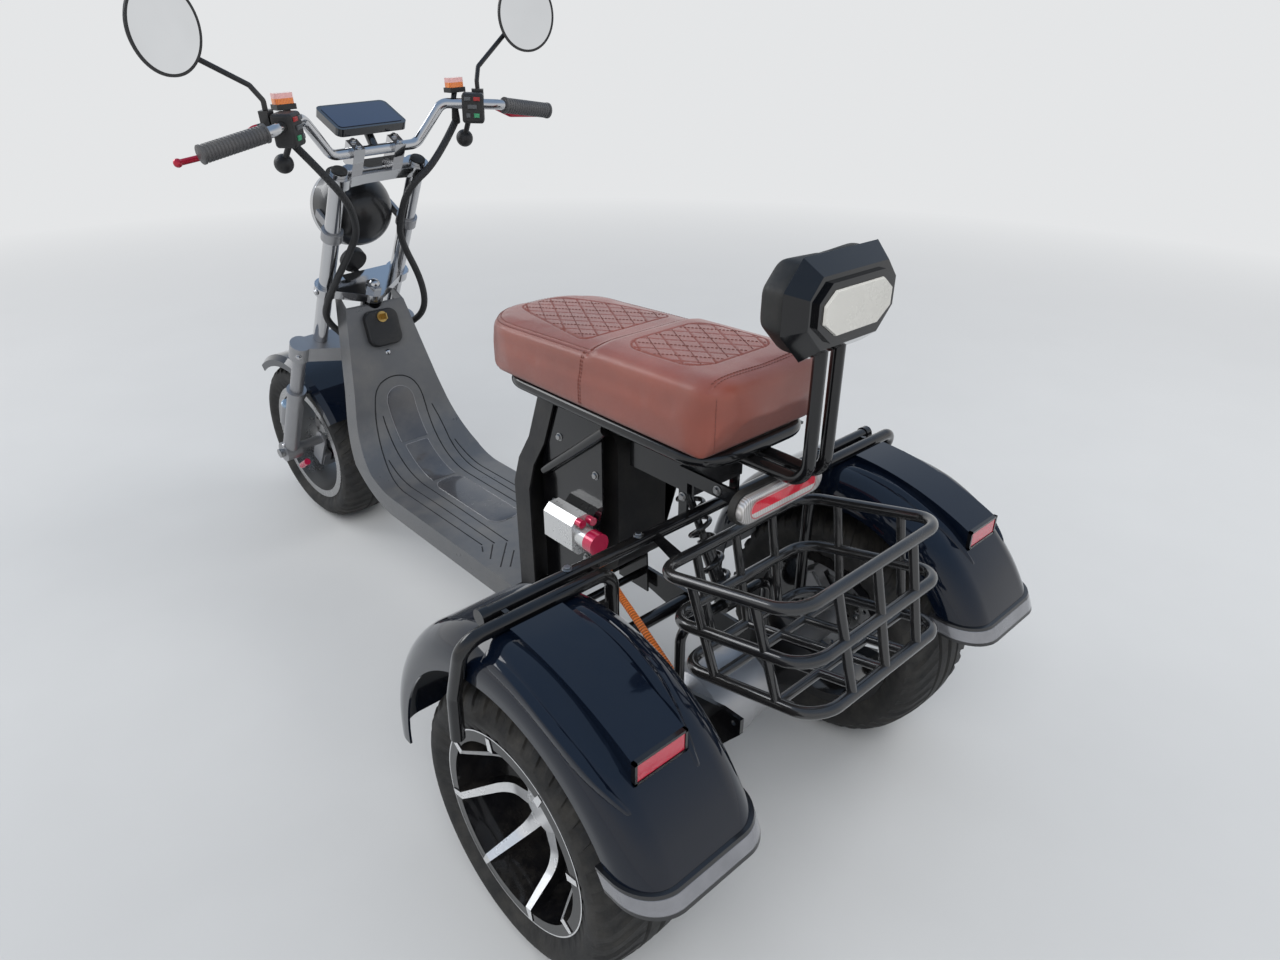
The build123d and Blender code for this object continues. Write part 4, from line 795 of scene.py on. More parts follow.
def scatter_tree():
    """A tree that sets a shape on every point of a mesh, standing along the point's own normal and turn."""
    inputs = [("Geometry", "Geometry", None), ("Shape", "Object", None), ("Size", "Float", 1.0)]
    inputs.append(("Finish", "Material", None))
    tree, given, result = new_group("Set On Points", inputs, [("Geometry", "Geometry")], "GeometryNodeTree")
    shape = add_node(tree, "GeometryNodeObjectInfo", Object=given["Shape"]).outputs["Geometry"]
    stand = tree.nodes.new("FunctionNodeAxesToRotation")
    stand.primary_axis, stand.secondary_axis = "Z", "X"
    for socket, label in enumerate(("outward", "along")):
        way = tree.nodes.new("GeometryNodeInputNamedAttribute")
        way.data_type = "FLOAT_VECTOR"
        way.inputs["Name"].default_value = label
        tree.links.new(way.outputs[0], stand.inputs[socket])
    spots = add_node(tree, "GeometryNodeInstanceOnPoints", Points=given["Geometry"], Instance=shape)
    feed(tree, spots, Rotation=stand.outputs[0], Scale=given["Size"])
    real = add_node(tree, "GeometryNodeRealizeInstances", Geometry=spots.outputs[0])
    finish = add_node(tree, "GeometryNodeSetMaterial", Geometry=real.outputs[0], Material=given["Finish"])
    tree.links.new(finish.outputs[0], result["Geometry"])
    return tree


def set_input(modifier, label, value):
    for item in modifier.node_group.interface.items_tree:
        if item.item_type == "SOCKET" and item.in_out == "INPUT" and item.name == label:
            modifier[item.identifier] = value


def scattered(name, shape, spots, finish):
    """A shape's mesh repeated at (place, outward, along) spots by Geometry Nodes, as one plain mesh."""
    points = mesh_of([place for place, _, _ in spots], [], name + "_points")
    for label, column in (("outward", 1), ("along", 2)):
        layer = points.attributes.new(label, "FLOAT_VECTOR", "POINT")
        for index, spot in enumerate(spots):
            layer.data[index].vector = spot[column]
    source, holder = linked(name + "_shape", shape), linked(name + "_spots", points)
    modifier = holder.modifiers.new("Set On Points", "NODES")
    modifier.node_group = bpy.data.node_groups.get("Set On Points") or scatter_tree()
    for label, value in (("Shape", source), ("Size", 1.0), ("Finish", FINISHES[finish])):
        set_input(modifier, label, value)
    bpy.context.view_layer.update()
    made = evaluated_mesh(holder)
    made.name = name
    for item in (source, holder):
        bpy.data.objects.remove(item)
    return made


def soften_tree():
    """A tree that welds a solid's loose triangles and shades it smooth but for its sharp edges."""
    inputs = [("Geometry", "Geometry", None), ("Angle", "Float", radians(32))]
    tree, given, result = new_group("Smooth Faces", inputs, [("Geometry", "Geometry")], "GeometryNodeTree")
    weld = add_node(tree, "GeometryNodeMergeByDistance", Geometry=given["Geometry"], Distance=1e-5)
    faces = add_node(tree, "GeometryNodeSetShadeSmooth", Geometry=weld.outputs[0])
    fold = tree.nodes.new("GeometryNodeInputMeshEdgeAngle")
    flat = tree.nodes.new("FunctionNodeCompare")
    flat.operation = "LESS_THAN"
    tree.links.new(fold.outputs["Unsigned Angle"], flat.inputs[0])
    tree.links.new(given["Angle"], flat.inputs[1])
    edges = tree.nodes.new("GeometryNodeSetShadeSmooth")
    edges.domain = "EDGE"
    feed(tree, edges, Geometry=faces.outputs[0], Shade_Smooth=flat.outputs[0])
    tree.links.new(edges.outputs[0], result["Geometry"])
    return tree


# Finishes on the CAD nodes

# Nodes whose finish isn't the one that their material slot names.
NODE_FINISH = {
    "backrest_shell": "shell_gloss",
    "headlamp_bucket": "satin_black",
    "tail_lamp_lens": "lamp_lens",
    "trim_unit": "bright_cap",
    "display": "screen",
    "rear_right_rim": "rim_black_right",
    "levers": "lever",
    "headlamp_lens": "reflector",
    "damper_coil": "black_chrome",
    "damper_body": "black_chrome",
    "indicator_lenses": "indicator",
    "basket": "black_chrome",
}
# Nodes whose edges get a small round, and how wide it is in metres.
ROUNDED_EDGES = {
    "fork_clamps": 0.0016,
    "fork_crown": 0.0022,
    "backrest_shell": 0.0012,
    "lock_plate": 0.0006,
    "trim_unit": 0.0008,
    "display": 0.0015,
    "battery_box": 0.003,
    "backrest_insert": 0.0008,
    "headlamp_bucket": 0.001,
}


class TRIKE_OT_finishes(bpy.types.Operator):
    """Makes the finishes and puts them on the solids"""

    bl_idname = "trike.finishes"
    bl_label = "Finishes"

    def execute(self, context):
        make_finishes()
        slots = {row["node"]: row["material_slot"] for row in frame["record"]["subparts"]}
        soften = soften_tree()
        for name, node in NODES.items():
            finish = FINISHES[NODE_FINISH.get(name, slots[name])]
            node.data.materials.clear()
            node.data.materials.append(finish)
            if "custom_normal" in node.data.attributes:
                node.data.attributes.remove(node.data.attributes["custom_normal"])
            smooth = node.modifiers.new("Smooth Faces", "NODES")
            smooth.node_group = soften
            if name in ROUNDED_EDGES:
                rounded = node.modifiers.new("Edges", "BEVEL")
                rounded.width = ROUNDED_EDGES[name]
                rounded.segments = 2
                rounded.limit_method = "ANGLE"
                rounded.angle_limit = radians(35)
                rounded.harden_normals = True
        return {"FINISHED"}


# Tyres

# Half of the carcass from its middle outwards: share of the half width, depth below the tyre's crown.
CARCASS = [(0.0, 0.0), (0.22, 0.0006), (0.42, 0.0022), (0.6, 0.0052), (0.74, 0.0088), (0.84, 0.0135), (0.91, 0.0205)]
CARCASS += [(0.96, 0.029), (0.985, 0.0385), (0.97, 0.048), (0.93, 0.056), (0.885, 0.064), (0.86, 0.07)]
# The first row of the carcass that lies beside the tread.
SHOULDER = 7
# The tread's rows across, as shares of the half width up to the middle.
TREAD_ROWS = [-0.91, -0.84, -0.74, -0.665, -0.64, -0.56, -0.33, -0.30, -0.27, -0.245, -0.06, -0.03]
# Between which shares a groove runs round the tyre.
ROUND_GROOVES = [(-0.30, -0.27), (-0.03, 0.03), (0.27, 0.30)]
# The rows round one pitch as shares of it, and the ones where a slot runs out to the shoulder.
PITCH_ROWS = [0.0, 0.12, 0.16, 0.44, 0.48, 0.62, 0.66, 0.94, 1.0]
SLOT_ROWS = (0.12, 0.16, 0.44, 0.48)
SLOT_SHARES = (0.38, 0.92)
# How many pitches the tread leans round the tyre from its middle to its edge.
TREAD_LEAN = 1.9
# The tyre's inner edge on the rim: its half width and its radius.
BEAD_HALF, BEAD_RADIUS = 0.089, 0.1535
# Each wheel, and the way along its axle that its disc faces.
WHEELS = {"front": 1, "rear_left": -1, "rear_right": 1}


def carcass_at(share):
    """The depth below the crown at a share of the half width, for the tread's own rows."""
    for (a, da), (b, db) in zip(CARCASS, CARCASS[1:]):
        if a <= share <= b:
            return da + (db - da) * (share - a) / (b - a)


def tyre_pitch(tread):
    """One pitch of the tyre round +X at the top of the wheel: grooves round it, and slots out to the shoulder."""
    wall = [(share, depth, False) for share, depth in CARCASS[SHOULDER:]]
    columns = [(-share, depth, sunk) for share, depth, sunk in reversed(wall)]
    for share in TREAD_ROWS + [0.0] + [-row for row in reversed(TREAD_ROWS)]:
        columns.append((share, carcass_at(abs(share)), any(low <= share <= high for low, high in ROUND_GROOVES)))
    columns += wall
    step, count = 2 * pi / tread.pitches, len(columns)
    vertices, faces = [], []
    for row in PITCH_ROWS:
        for share, depth, sunk in columns:
            slot = SLOT_SHARES[0] <= abs(share) <= SLOT_SHARES[1] and row in SLOT_ROWS
            turn = step * (row + TREAD_LEAN * abs(share))
            r = TYRE_RADIUS - tread.inset - depth - (tread.groove if sunk or slot else 0.0)
            vertices.append(Vector((share * (TYRE_HALF_WIDTH - tread.inset), r * sin(turn), r * cos(turn))))
    for i in range(len(PITCH_ROWS) - 1):
        faces += strip(i * count, (i + 1) * count, count, closed=False)
    return mesh_of(vertices, faces, "tyre_pitch")


def wheel_frame(wheel):
    """A wheel's centre, its axle's direction and the way up from it."""
    turn = FRONT_TURN if wheel == "front" else 0.0
    axle = Matrix.Rotation(turn, 3, FORK_UP) @ LEFT
    return middle(wheel + "_tyre"), axle, (UP - axle * axle.z).normalized()


def tyre_mesh(wheel):
    """A treaded tyre, its pitches set round the axle and its edges drawn in to the rim."""
    tread = bpy.context.scene.trike_tread
    centre, axle, up = wheel_frame(wheel)
    turns = [Matrix.Rotation(2 * pi * index / tread.pitches, 3, axle) for index in range(tread.pitches)]
    ring = scattered("tyre_ring", tyre_pitch(tread), [(centre, turn @ up, axle) for turn in turns], "tyre_rubber")
    with editing(ring) as work:
        bmesh.ops.remove_doubles(work, verts=work.verts, dist=2e-5)
        edges = [e for e in work.edges if e.is_boundary]
        made = bmesh.ops.extrude_edge_only(work, edges=edges)["geom"]
        for v in [g for g in made if isinstance(g, bmesh.types.BMVert)]:
            along = (v.co - centre).dot(axle)
            out = (v.co - centre - axle * along).normalized()
            v.co = centre + axle * (BEAD_HALF if along > 0 else -BEAD_HALF) + out * BEAD_RADIUS
        bmesh.ops.recalc_face_normals(work, faces=work.faces)
    return sharp_by_angle(ring, 28)


class TRIKE_OT_tyres(bpy.types.Operator):
    """Builds the treaded tyres over their plain solids"""

    bl_idname = "trike.tyres"
    bl_label = "Tyres"

    def execute(self, context):
        for wheel in WHEELS:
            tyre = wheel + "_tyre"
            add_object(tyre + "_tread", tyre_mesh(wheel), "tyre_rubber", wheel + "_wheel", [tyre], False)
        return {"FINISHED"}


# Seat and backrest

# The seat's places are from the ground below the rear axle, like the looms' ones.
SEAT_STEP = -0.205
PANELS = [
    {"front": -0.505, "rear": -0.246, "half_front": 0.034, "half_rear": 0.099, "corner": 0.022},
    {"front": -0.172, "rear": -0.004, "half_front": 0.09, "half_rear": 0.09, "corner": 0.042},
]
SEAM_INSET = 0.016
# The round of the seat's nose, seen from above, and the bow of the seam across its step.
NOSE_ROUND = 0.12
STEP_BOW = 0.3
# How far the front part of the seat lies below the rear one.
SEAT_DROP = 0.007
# How far the side seams stand ahead of the step.
SIDE_SEAM = 0.015
# The quilting lines' run sideways for each metre back.
QUILT_SKEW = 0.6
STITCH_GAP = 0.0022
STITCH_LIFT = 0.0003
CLOTH_FRAMES = 20


def seat_plan():
    """The seat solid's lowest and highest corner, the places' origin in y, and the nose and tail seen from it."""
    low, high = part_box("seat")
    origin = placed(0, 0, 0).y
    return low, high, origin, low.y - origin, high.y - origin


def inside_panel(panel, x, y):
    """How far inside a quilted panel a point lies, in metres, negative outside."""
    front, rear = panel["front"], panel["rear"]
    share = min(max((y - front) / (rear - front), 0.0), 1.0)
    half = panel["half_front"] + (panel["half_rear"] - panel["half_front"]) * share ** 0.6
    corner = panel["corner"]
    across = abs(x) - (half - corner)
    along = abs(y - (front + rear) / 2) - ((rear - front) / 2 - corner)
    outside = sqrt(max(across, 0.0) ** 2 + max(along, 0.0) ** 2)
    return corner - outside - min(max(across, along), 0.0)


def smooth_step(value):
    value = min(max(value, 0.0), 1.0)
    return value * value * (3 - 2 * value)


def swollen(node, voxel, cap, shrink=0.0015):
    """A copy of a soft solid, remeshed and blown up a little as cloth, no further than cap."""
    context = bpy.context
    piece = linked(node + "_swell", welded_copy(node))
    context.view_layer.objects.active = piece
    remesh = piece.modifiers.new("Remesh", "REMESH")
    remesh.mode = "VOXEL"
    remesh.voxel_size = voxel
    fine = evaluated_mesh(piece)
    piece.modifiers.clear()
    piece.data = fine
    with editing(fine) as work:
        work.normal_update()
        for v in work.verts:
            v.co -= v.normal * shrink
        smoothed(work, 3)
    start = [v.co.copy() for v in fine.vertices]
    low = min(v.z for v in start)
    pins = piece.vertex_groups.new(name="held")
    pins.add([i for i, v in enumerate(start) if v.z < low + 0.004], 1.0, "REPLACE")
    cloth = piece.modifiers.new("Cloth", "CLOTH")
    cloth.settings.quality = 5
    cloth.settings.use_pressure = True
    cloth.settings.uniform_pressure_force = 4.0
    cloth.settings.effector_weights.gravity = 0.0
    cloth.settings.vertex_group_mass = "held"
    cloth.point_cache.frame_start, cloth.point_cache.frame_end = 1, CLOTH_FRAMES
    for step in range(1, CLOTH_FRAMES + 1):
        context.scene.frame_set(step)
    evaluated = piece.evaluated_get(context.evaluated_depsgraph_get())
    ends = [v.co.copy() for v in evaluated.data.vertices]
    piece.modifiers.clear()
    for v, a, b in zip(fine.vertices, start, ends):
        way = b - a
        v.co = a + (way.normalized() * cap if way.length > cap else way)
    context.scene.frame_set(1)
    bpy.data.objects.remove(piece)
    return fine


def subdivided(mesh):
    holder = linked("fine", mesh)
    more = holder.modifiers.new("Fine", "SUBSURF")
    more.levels = more.render_levels = 1
    made = evaluated_mesh(holder)
    bpy.data.objects.remove(holder)
    return made


def quilt_line(x, y, pitch):
    """The distance to the nearest quilting line of a diamond grid, in metres."""
    nearest = [abs((value / pitch) % 1.0 - 0.5) for value in (x + QUILT_SKEW * y, x - QUILT_SKEW * y)]
    return (0.5 - max(nearest)) * pitch / sqrt(1 + QUILT_SKEW * QUILT_SKEW)


def seam_sink(distance, depth, width=0.0022):
    """How far a seam pulls the cover in at a distance from its line."""
    return depth * (1.0 - smooth_step(abs(distance) / width))


def seat_surface(mesh):
    """Lowers the front part of the seat, and sinks the quilting and the seams."""
    seat = bpy.context.scene.trike_seat
    low, high, origin, nose, tail = seat_plan()
    normals = [v.normal.copy() for v in mesh.vertices]
    for v, normal in zip(mesh.vertices, normals):
        x, y = v.co.x, v.co.y - origin
        share = smooth_step((v.co.z - low.z - 0.03) / (high.z - low.z - 0.03))
        drop = SEAT_DROP * (1.0 - smooth_step((y - SEAT_STEP) / 0.03 + 0.5)) * share
        sink = 0.0
        if normal.z > 0.5:
            for panel in PANELS:
                depth = inside_panel(panel, x, y)
                if depth > -0.004:
                    line = seam_sink(quilt_line(x, y, seat.diamond), seat.stitch_depth) if depth > 0 else 0.0
                    puff = smooth_step(depth / 0.012) * 0.0016
                    sink = max(sink, seam_sink(depth, seat.stitch_depth), line) - puff
            sink = max(sink, seam_sink(y - SEAT_STEP + STEP_BOW * x * x, 0.002, 0.004))
            sink = max(sink, seam_sink(y - tail + 2 * SEAM_INSET, 0.0012))
        if y < SEAT_STEP and normal.z > 0.3:
            sink = max(sink, seam_sink(seam_offset(x, y, high.x, nose), 0.0014))
        if abs(normal.x) > 0.6:
            sink = max(sink, seam_sink(y - SEAT_STEP + SIDE_SEAM, 0.001))
        v.co.z -= drop
        v.co -= normal * sink
    mesh.update()
    return mesh


def seam_offset(x, y, half, nose):
    """The distance from the seam that follows the front part's edge, seen from above."""
    ahead = nose + NOSE_ROUND - y
    if ahead <= 0:
        return half - SEAM_INSET - abs(x)
    across = max(abs(x) - (half - NOSE_ROUND), 0.0)
    return NOSE_ROUND - SEAM_INSET - sqrt(across**2 + ahead**2)


def stitch_lines():
    """The seams and the quilting lines as lists of (x, y) seen from above."""
    seat = bpy.context.scene.trike_seat
    _, high, _, nose, tail = seat_plan()
    half, lines = high.x, []
    for offset in (-0.003, 0.003):
        inset = SEAM_INSET + offset
        edge = [(half - inset, SEAT_STEP - 0.002), (half - inset, nose + NOSE_ROUND)]
        for turn in map(radians, range(10, 91, 10)):
            reach = NOSE_ROUND - inset
            edge.append((half - NOSE_ROUND + reach * cos(turn), nose + NOSE_ROUND - reach * sin(turn)))
        lines.append(edge + [(-x, y) for x, y in reversed(edge)])
        across = [x * 0.01 for x in range(-12, 13)]
        lines.append([(x, SEAT_STEP + offset - STEP_BOW * x**2) for x in across])
        lines.append([(side * (half - 0.02), tail - SEAM_INSET - inset) for side in SIDES])
    for panel in PANELS:
        for skew in (-QUILT_SKEW, QUILT_SKEW):
            for step in range(-12, 13):
                start = seat.diamond * (step + 0.5)
                run = [(start - skew * y, y) for y in (0.002 * k for k in range(-260, 5))]
                run = [(x, y) for x, y in run if inside_panel(panel, x, y) > 0.001]
                if len(run) > 4:
                    lines.append([run[0], run[-1]])
    return lines


def dashes(line, length, gap):
    """Even dashes along a line of places, as (middle, direction)."""
    made, carry = [], 0.0
    for start, end in zip(line, line[1:]):
        run = end - start
        if run.length < 1e-6:
            continue
        way, reached = run.normalized(), -carry
        while reached + length + gap <= run.length:
            reached += length + gap
            made.append((start + way * (reached - length / 2), way))
        carry = run.length - reached
    return made


def upright_rays(low, high, origin):
    """Rays (start, way) at the seat where its upright seams are stitched: two at each side, one at each corner."""
    rays = []
    for side in SIDES:
        out = Vector((side, 1, 0)).normalized()
        for z in (low.z + 0.012 + 0.0062 * step for step in range(14)):
            for gap in (-0.0025, 0.0025):
                rays.append((Vector((side * 0.3, origin + SEAT_STEP - SIDE_SEAM + gap, z)), -side * LEFT))
            rays.append((Vector((side * (high.x - 0.03), high.y - 0.03, z)) + out * 0.2, -out))
    return rays


def stitches(cover):
    """Thread dashes along every seam, laid on the cover by Geometry Nodes."""
    seat = bpy.context.scene.trike_seat
    tree = BVHTree.FromPolygons([v.co for v in cover.vertices], [p.vertices for p in cover.polygons])
    low, high, origin, _, _ = seat_plan()
    rays = [(start, aim, UP) for start, aim in upright_rays(low, high, origin)]
    for line in stitch_lines():
        places = [Vector((x, y + origin, high.z + 0.1)) for x, y in line]
        rays += [(place, -UP, way) for place, way in dashes(places, seat.thread, STITCH_GAP)]
    spots = []
    for start, aim, way in rays:
        hit, normal, _, _ = tree.ray_cast(start, aim)
        if hit:
            spots.append((hit + normal * STITCH_LIFT, normal, (way - normal * way.dot(normal)).normalized()))
    half = seat.thread / 2
    thread = tube_mesh([-half * LEFT, 0.0003 * UP, half * LEFT], 0.00055, 5)
    return scattered("seat_stitches", thread, spots, "thread")


class TRIKE_OT_seat(bpy.types.Operator):
    """Builds the quilted bench seat"""

    bl_idname = "trike.seat"
    bl_label = "Seat"

    def execute(self, context):
        seat = context.scene.trike_seat
        mesh = swollen("seat", seat.voxel, seat.swell)
        with editing(mesh) as work:
            smoothed(work, 4)
        mesh = seat_surface(subdivided(mesh))
        cover = add_object("seat_cover", mesh, "seat_leather", "chassis", ["seat"])
        add_object("seat_stitches", stitches(mesh), "thread", "chassis")
        return {"FINISHED"}


class TRIKE_OT_backrest(bpy.types.Operator):
    """Builds the backrest's pad"""

    bl_idname = "trike.backrest"
    bl_label = "Backrest Pad"

    def execute(self, context):
        mesh = swollen("backrest_cushion", 0.005, 0.004, shrink=0.0012)
        pad = add_object("backrest_pad", subdivided(mesh), "rubber", "chassis", ["backrest_cushion"])
        return {"FINISHED"}


# Deck

# The neck's upper end as (behind, up) from the ground below the rear axle, and its lean back from upright.
NECK_TOP = (-1.196, 0.752)
NECK_LEAN = radians(16.6)
# The radius of the bend between the neck and the floor, and the floor's height.
NECK_BEND = 0.2
FLOOR_HEIGHT = 0.315
NECK_RUN = (NECK_TOP[1] - FLOOR_HEIGHT) / cos(NECK_LEAN)
BEND_TURN = pi / 2 - NECK_LEAN
NECK_STRAIGHT = NECK_RUN - NECK_BEND * tan(BEND_TURN / 2)

# Moulded grooves as (across, distance down from the neck's top), the outermost one looping over the neck. Each is drawn
# as a near-black tube: painted shade in the groove.
DECK_GROOVES = [
    [(0.108, 0.876), (0.111, 0.60), (0.113, 0.51), (0.092, 0.40), (0.074, 0.31), (0.056, 0.252), (0.010, 0.232)]
    + [(-0.040, 0.244), (-0.064, 0.29), (-0.060, 0.38), (-0.056, 0.50), (-0.057, 0.66), (-0.060, 0.90)],
    [(0.084, 0.888), (0.084, 0.60), (0.090, 0.50), (0.090, 0.436)],
    [(0.058, 0.900), (0.056, 0.60), (0.060, 0.45), (0.057, 0.324)],
    [(-0.084, 0.900), (-0.084, 0.60), (-0.084, 0.46), (-0.090, 0.38), (-0.080, 0.328)],
    [(-0.108, 0.880), (-0.104, 0.60), (-0.102, 0.49), (-0.098, 0.436)],
    [(0.112, 0.882), (0.122, 0.900)],
    [(0.090, 0.890), (0.126, 0.934)],
    [(0.064, 0.904), (0.128, 0.974)],
    [(0.070, 0.940), (0.112, 0.986)],
    [(-0.112, 0.886), (-0.122, 0.904)],
    [(-0.090, 0.904), (-0.126, 0.940)],
    [(-0.066, 0.906), (-0.128, 0.976)],
]
# How deep the lines of the grooves lie, their radius, and the radius of the gloss panels' rims.
GROOVE_SINK, GROOVE_RADIUS, RIM_RADIUS = 0.0012, 0.0021, 0.0011
# Gloss panels let into the middle, as half width, first and last distance, and the round of each end.
DECK_PANELS = [
    {"half": 0.036, "start": 0.262, "end": 0.402, "round": 0.036, "square_end": True},
    {"half": 0.031, "start": 0.410, "end": 0.546, "round": 0.004, "square_end": True},
    {"half": 0.038, "start": 0.556, "end": 0.822, "round": 0.030, "square_end": False},
]


def deck_place(x, distance, lift=0.0):
    """A place on the deck's upper face, lifted off it along its normal."""
    cos_lean, sin_lean = cos(NECK_LEAN), sin(NECK_LEAN)
    way, out = Vector((sin_lean, -cos_lean)), Vector((cos_lean, sin_lean))
    top = Vector(NECK_TOP)
    if distance <= NECK_STRAIGHT:
        place, normal = top + way * distance, out
    else:
        turn = min((distance - NECK_STRAIGHT) / NECK_BEND, BEND_TURN)
        pivot = top + way * NECK_STRAIGHT + out * NECK_BEND
        normal = Matrix.Rotation(turn, 2) @ out
        place = pivot - normal * NECK_BEND
        flat = distance - NECK_STRAIGHT - NECK_BEND * BEND_TURN
        if flat > 0:
            place = place + Vector((flat, 0))
    place = place + normal * lift
    return placed(x, place[0], place[1])


def eased_line(points, rounds=2):
    """A line of flat points with its corners cut round."""
    for _ in range(rounds):
        cut = [points[0]]
        for a, b in zip(points, points[1:]):
            cut.append((0.75 * a[0] + 0.25 * b[0], 0.75 * a[1] + 0.25 * b[1]))
            cut.append((0.25 * a[0] + 0.75 * b[0], 0.25 * a[1] + 0.75 * b[1]))
        points = cut + [points[-1]]
    return points


def deck_line(points, lift, spacing=0.012):
    """Flat points laid on the deck as close places in space."""
    places = []
    for (xa, da), (xb, db) in zip(points, points[1:]):
        steps = max(1, int(sqrt((xb - xa) ** 2 + (db - da) ** 2) / spacing))
        for k in range(steps):
            places.append(deck_place(xa + (xb - xa) * k / steps, da + (db - da) * k / steps, lift))
    places.append(deck_place(*points[-1], lift))
    return places


def panel_half(panel, distance):
    """Half the width of a gloss panel at a distance, with its ends rounded."""
    half, turn = panel["half"], panel["round"]
    near = distance - panel["start"]
    if not panel["square_end"]:
        near = min(near, panel["end"] - distance)
    if near >= turn:
        return half
    return half - turn + sqrt(max(turn**2 - (turn - near) ** 2, 0.0))


def panel_stations(panel, count):
    """Distances along a gloss panel, closer together at its ends."""
    span = panel["end"] - panel["start"]
    return [panel["start"] + span * (0.5 - 0.5 * cos(pi * k / count)) for k in range(count + 1)]


def panel_mesh(panel):
    """A thin slab on the deck's face, its upper edges eased."""
    rings = []
    for distance in panel_stations(panel, 40):
        half = max(panel_half(panel, distance), 0.002)
        top = [(-1.0, 0.0004), (-0.93, 0.0009), (0.93, 0.0009), (1.0, 0.0004)]
        under = [(share, -0.0008) for share, _ in reversed(top)]
        rings.append([deck_place(share * half, distance, lift) for share, lift in top + under])
    return lofted(rings)


def panel_rim(panel):
    """The places of a gloss panel's edge, once round or along both sides."""
    side = [(panel_half(panel, distance) + 0.0006, distance) for distance in panel_stations(panel, 48)]
    outline = side[::-1] + [(-x, distance) for x, distance in side]
    kept = [outline[0]]
    for point in outline[1:]:
        if abs(point[0] - kept[-1][0]) + abs(point[1] - kept[-1][1]) > 0.002:
            kept.append(point)
    return [deck_place(x, d, 0.0002) for x, d in kept]


class TRIKE_OT_deck(bpy.types.Operator):
    """Draws the deck's grooves as near-black tubes of painted shade, and lays the gloss panels of the deck"""

    bl_idname = "trike.deck"
    bl_label = "Deck Relief"

    def execute(self, context):
        # The grooves' near-black tubes are painted shade, sunk partly into the deck.
        lines = [tube_mesh(deck_line(eased_line(line), -GROOVE_SINK), GROOVE_RADIUS, 6) for line in DECK_GROOVES]
        add_object("deck_grooves", joined(lines), "deck_groove", "chassis")
        add_edged("deck_panels", [panel_mesh(panel) for panel in DECK_PANELS], "deck_panel", "chassis", 35)
        rims = [tube_mesh(panel_rim(panel), RIM_RADIUS, 6) for panel in DECK_PANELS]
        add_object("deck_panel_rims", joined(rims), "panel_rim", "chassis")
        return {"FINISHED"}


# Fenders

# The arch's middle as (behind, up) from the ground below the rear axle, its radius, the round of its shoulders,
# and how far across its crown begins and ends.
ARCH_MIDDLE = (0.018, 0.250)
ARCH_RADIUS = 0.335
ARCH_SHOULDER = 0.052
ARCH_CROWN = (0.322, 0.436)
# Crests beside the raised panel, as (turn from the top in radians, across from the crown's middle).
OUTER_CREST = [(-0.10, 0.100), (0.18, 0.104), (0.41, 0.104), (0.58, 0.099), (0.70, 0.090), (0.80, 0.078)]
INNER_CREST = [(-0.06, -0.056), (0.20, -0.057), (0.42, -0.053), (0.60, -0.046), (0.80, -0.036)]
CREST_HALF = 0.015
CREST_HEIGHT = 0.0075


def on_arch(side, turn, across, lift):
    """A place on a rear fender's skin, lifted off it along its normal."""
    crown_half = (ARCH_CROWN[1] - ARCH_CROWN[0]) / 2
    past = max(abs(across) - crown_half, 0.0) / ARCH_SHOULDER
    sign = 1 if across >= 0 else -1
    straight = max(min(across, crown_half), -crown_half)
    x = sum(ARCH_CROWN) / 2 + straight + sign * (ARCH_SHOULDER + lift) * sin(past)
    radius = ARCH_RADIUS - ARCH_SHOULDER + (ARCH_SHOULDER + lift) * cos(past)
    return placed(side * x, ARCH_MIDDLE[0] + radius * sin(turn), ARCH_MIDDLE[1] + radius * cos(turn))


def crest_mesh(side, line):
    """A ridge that rises from the fender's skin and runs out to a point."""
    line = eased_line(line, 3)
    section = [(-1.0, -0.25), (-0.55, 0.28), (-0.15, 0.86), (0.0, 1.0), (0.15, 0.86), (0.55, 0.28), (1.0, -0.25)]
    rings = []
    for index, (turn, across) in enumerate(line):
        share = index / (len(line) - 1)
        rise = min(1.0, share / 0.35) * min(1.0, (1 - share) / 0.3)
        width = CREST_HALF * (0.25 + 0.75 * min(1.0, (1 - share) / 0.45))
        ring = []
        for offset, height in section:
            lift = CREST_HEIGHT * height * rise if height > 0 else -0.002
            ring.append(on_arch(side, turn, across + offset * width, lift))
        rings.append(ring)
    return lofted(rings)


# The opening of a reflector's bezel across and up, its bars' width, and how far they run back.
BEZEL_ACROSS, BEZEL_UP, BEZEL_BAR = (0.3515, 0.4325), (0.5055, 0.5335), 0.004
BEZEL_BEHIND = (0.2355, 0.2425)
# The ends of the thin brace below the seat, on the left, and its radius.
SEAT_BRACE, BRACE_RADIUS = [(0.108, -0.19, 0.722), (0.104, -0.365, 0.585)], 0.009


def mirrored(place, side):
    """A place or a direction on the left, or with side -1 on the right."""
    return Vector((place[0] * side, place[1], place[2]))


def bezel_meshes(side):
    """Four bars round a rear reflector."""
    (inner, outer), (low, high), bar = BEZEL_ACROSS, BEZEL_UP, BEZEL_BAR
    around, beside = (inner - bar, outer + bar), (low - bar, high + bar)
    meshes = []
    for (x0, x1), (z0, z1) in (
        (around, (low - bar, low)),
        (around, (high, high + bar)),
        ((inner - bar, inner), beside),
        ((outer, outer + bar), beside),
    ):
        y0, y1 = BEZEL_BEHIND
        flat = ((x0, y0), (x1, y0), (x1, y1), (x0, y1))
        meshes.append(lofted([[placed(side * x, y, z) for x, y in flat] for z in (z0, z1)]))
    return meshes


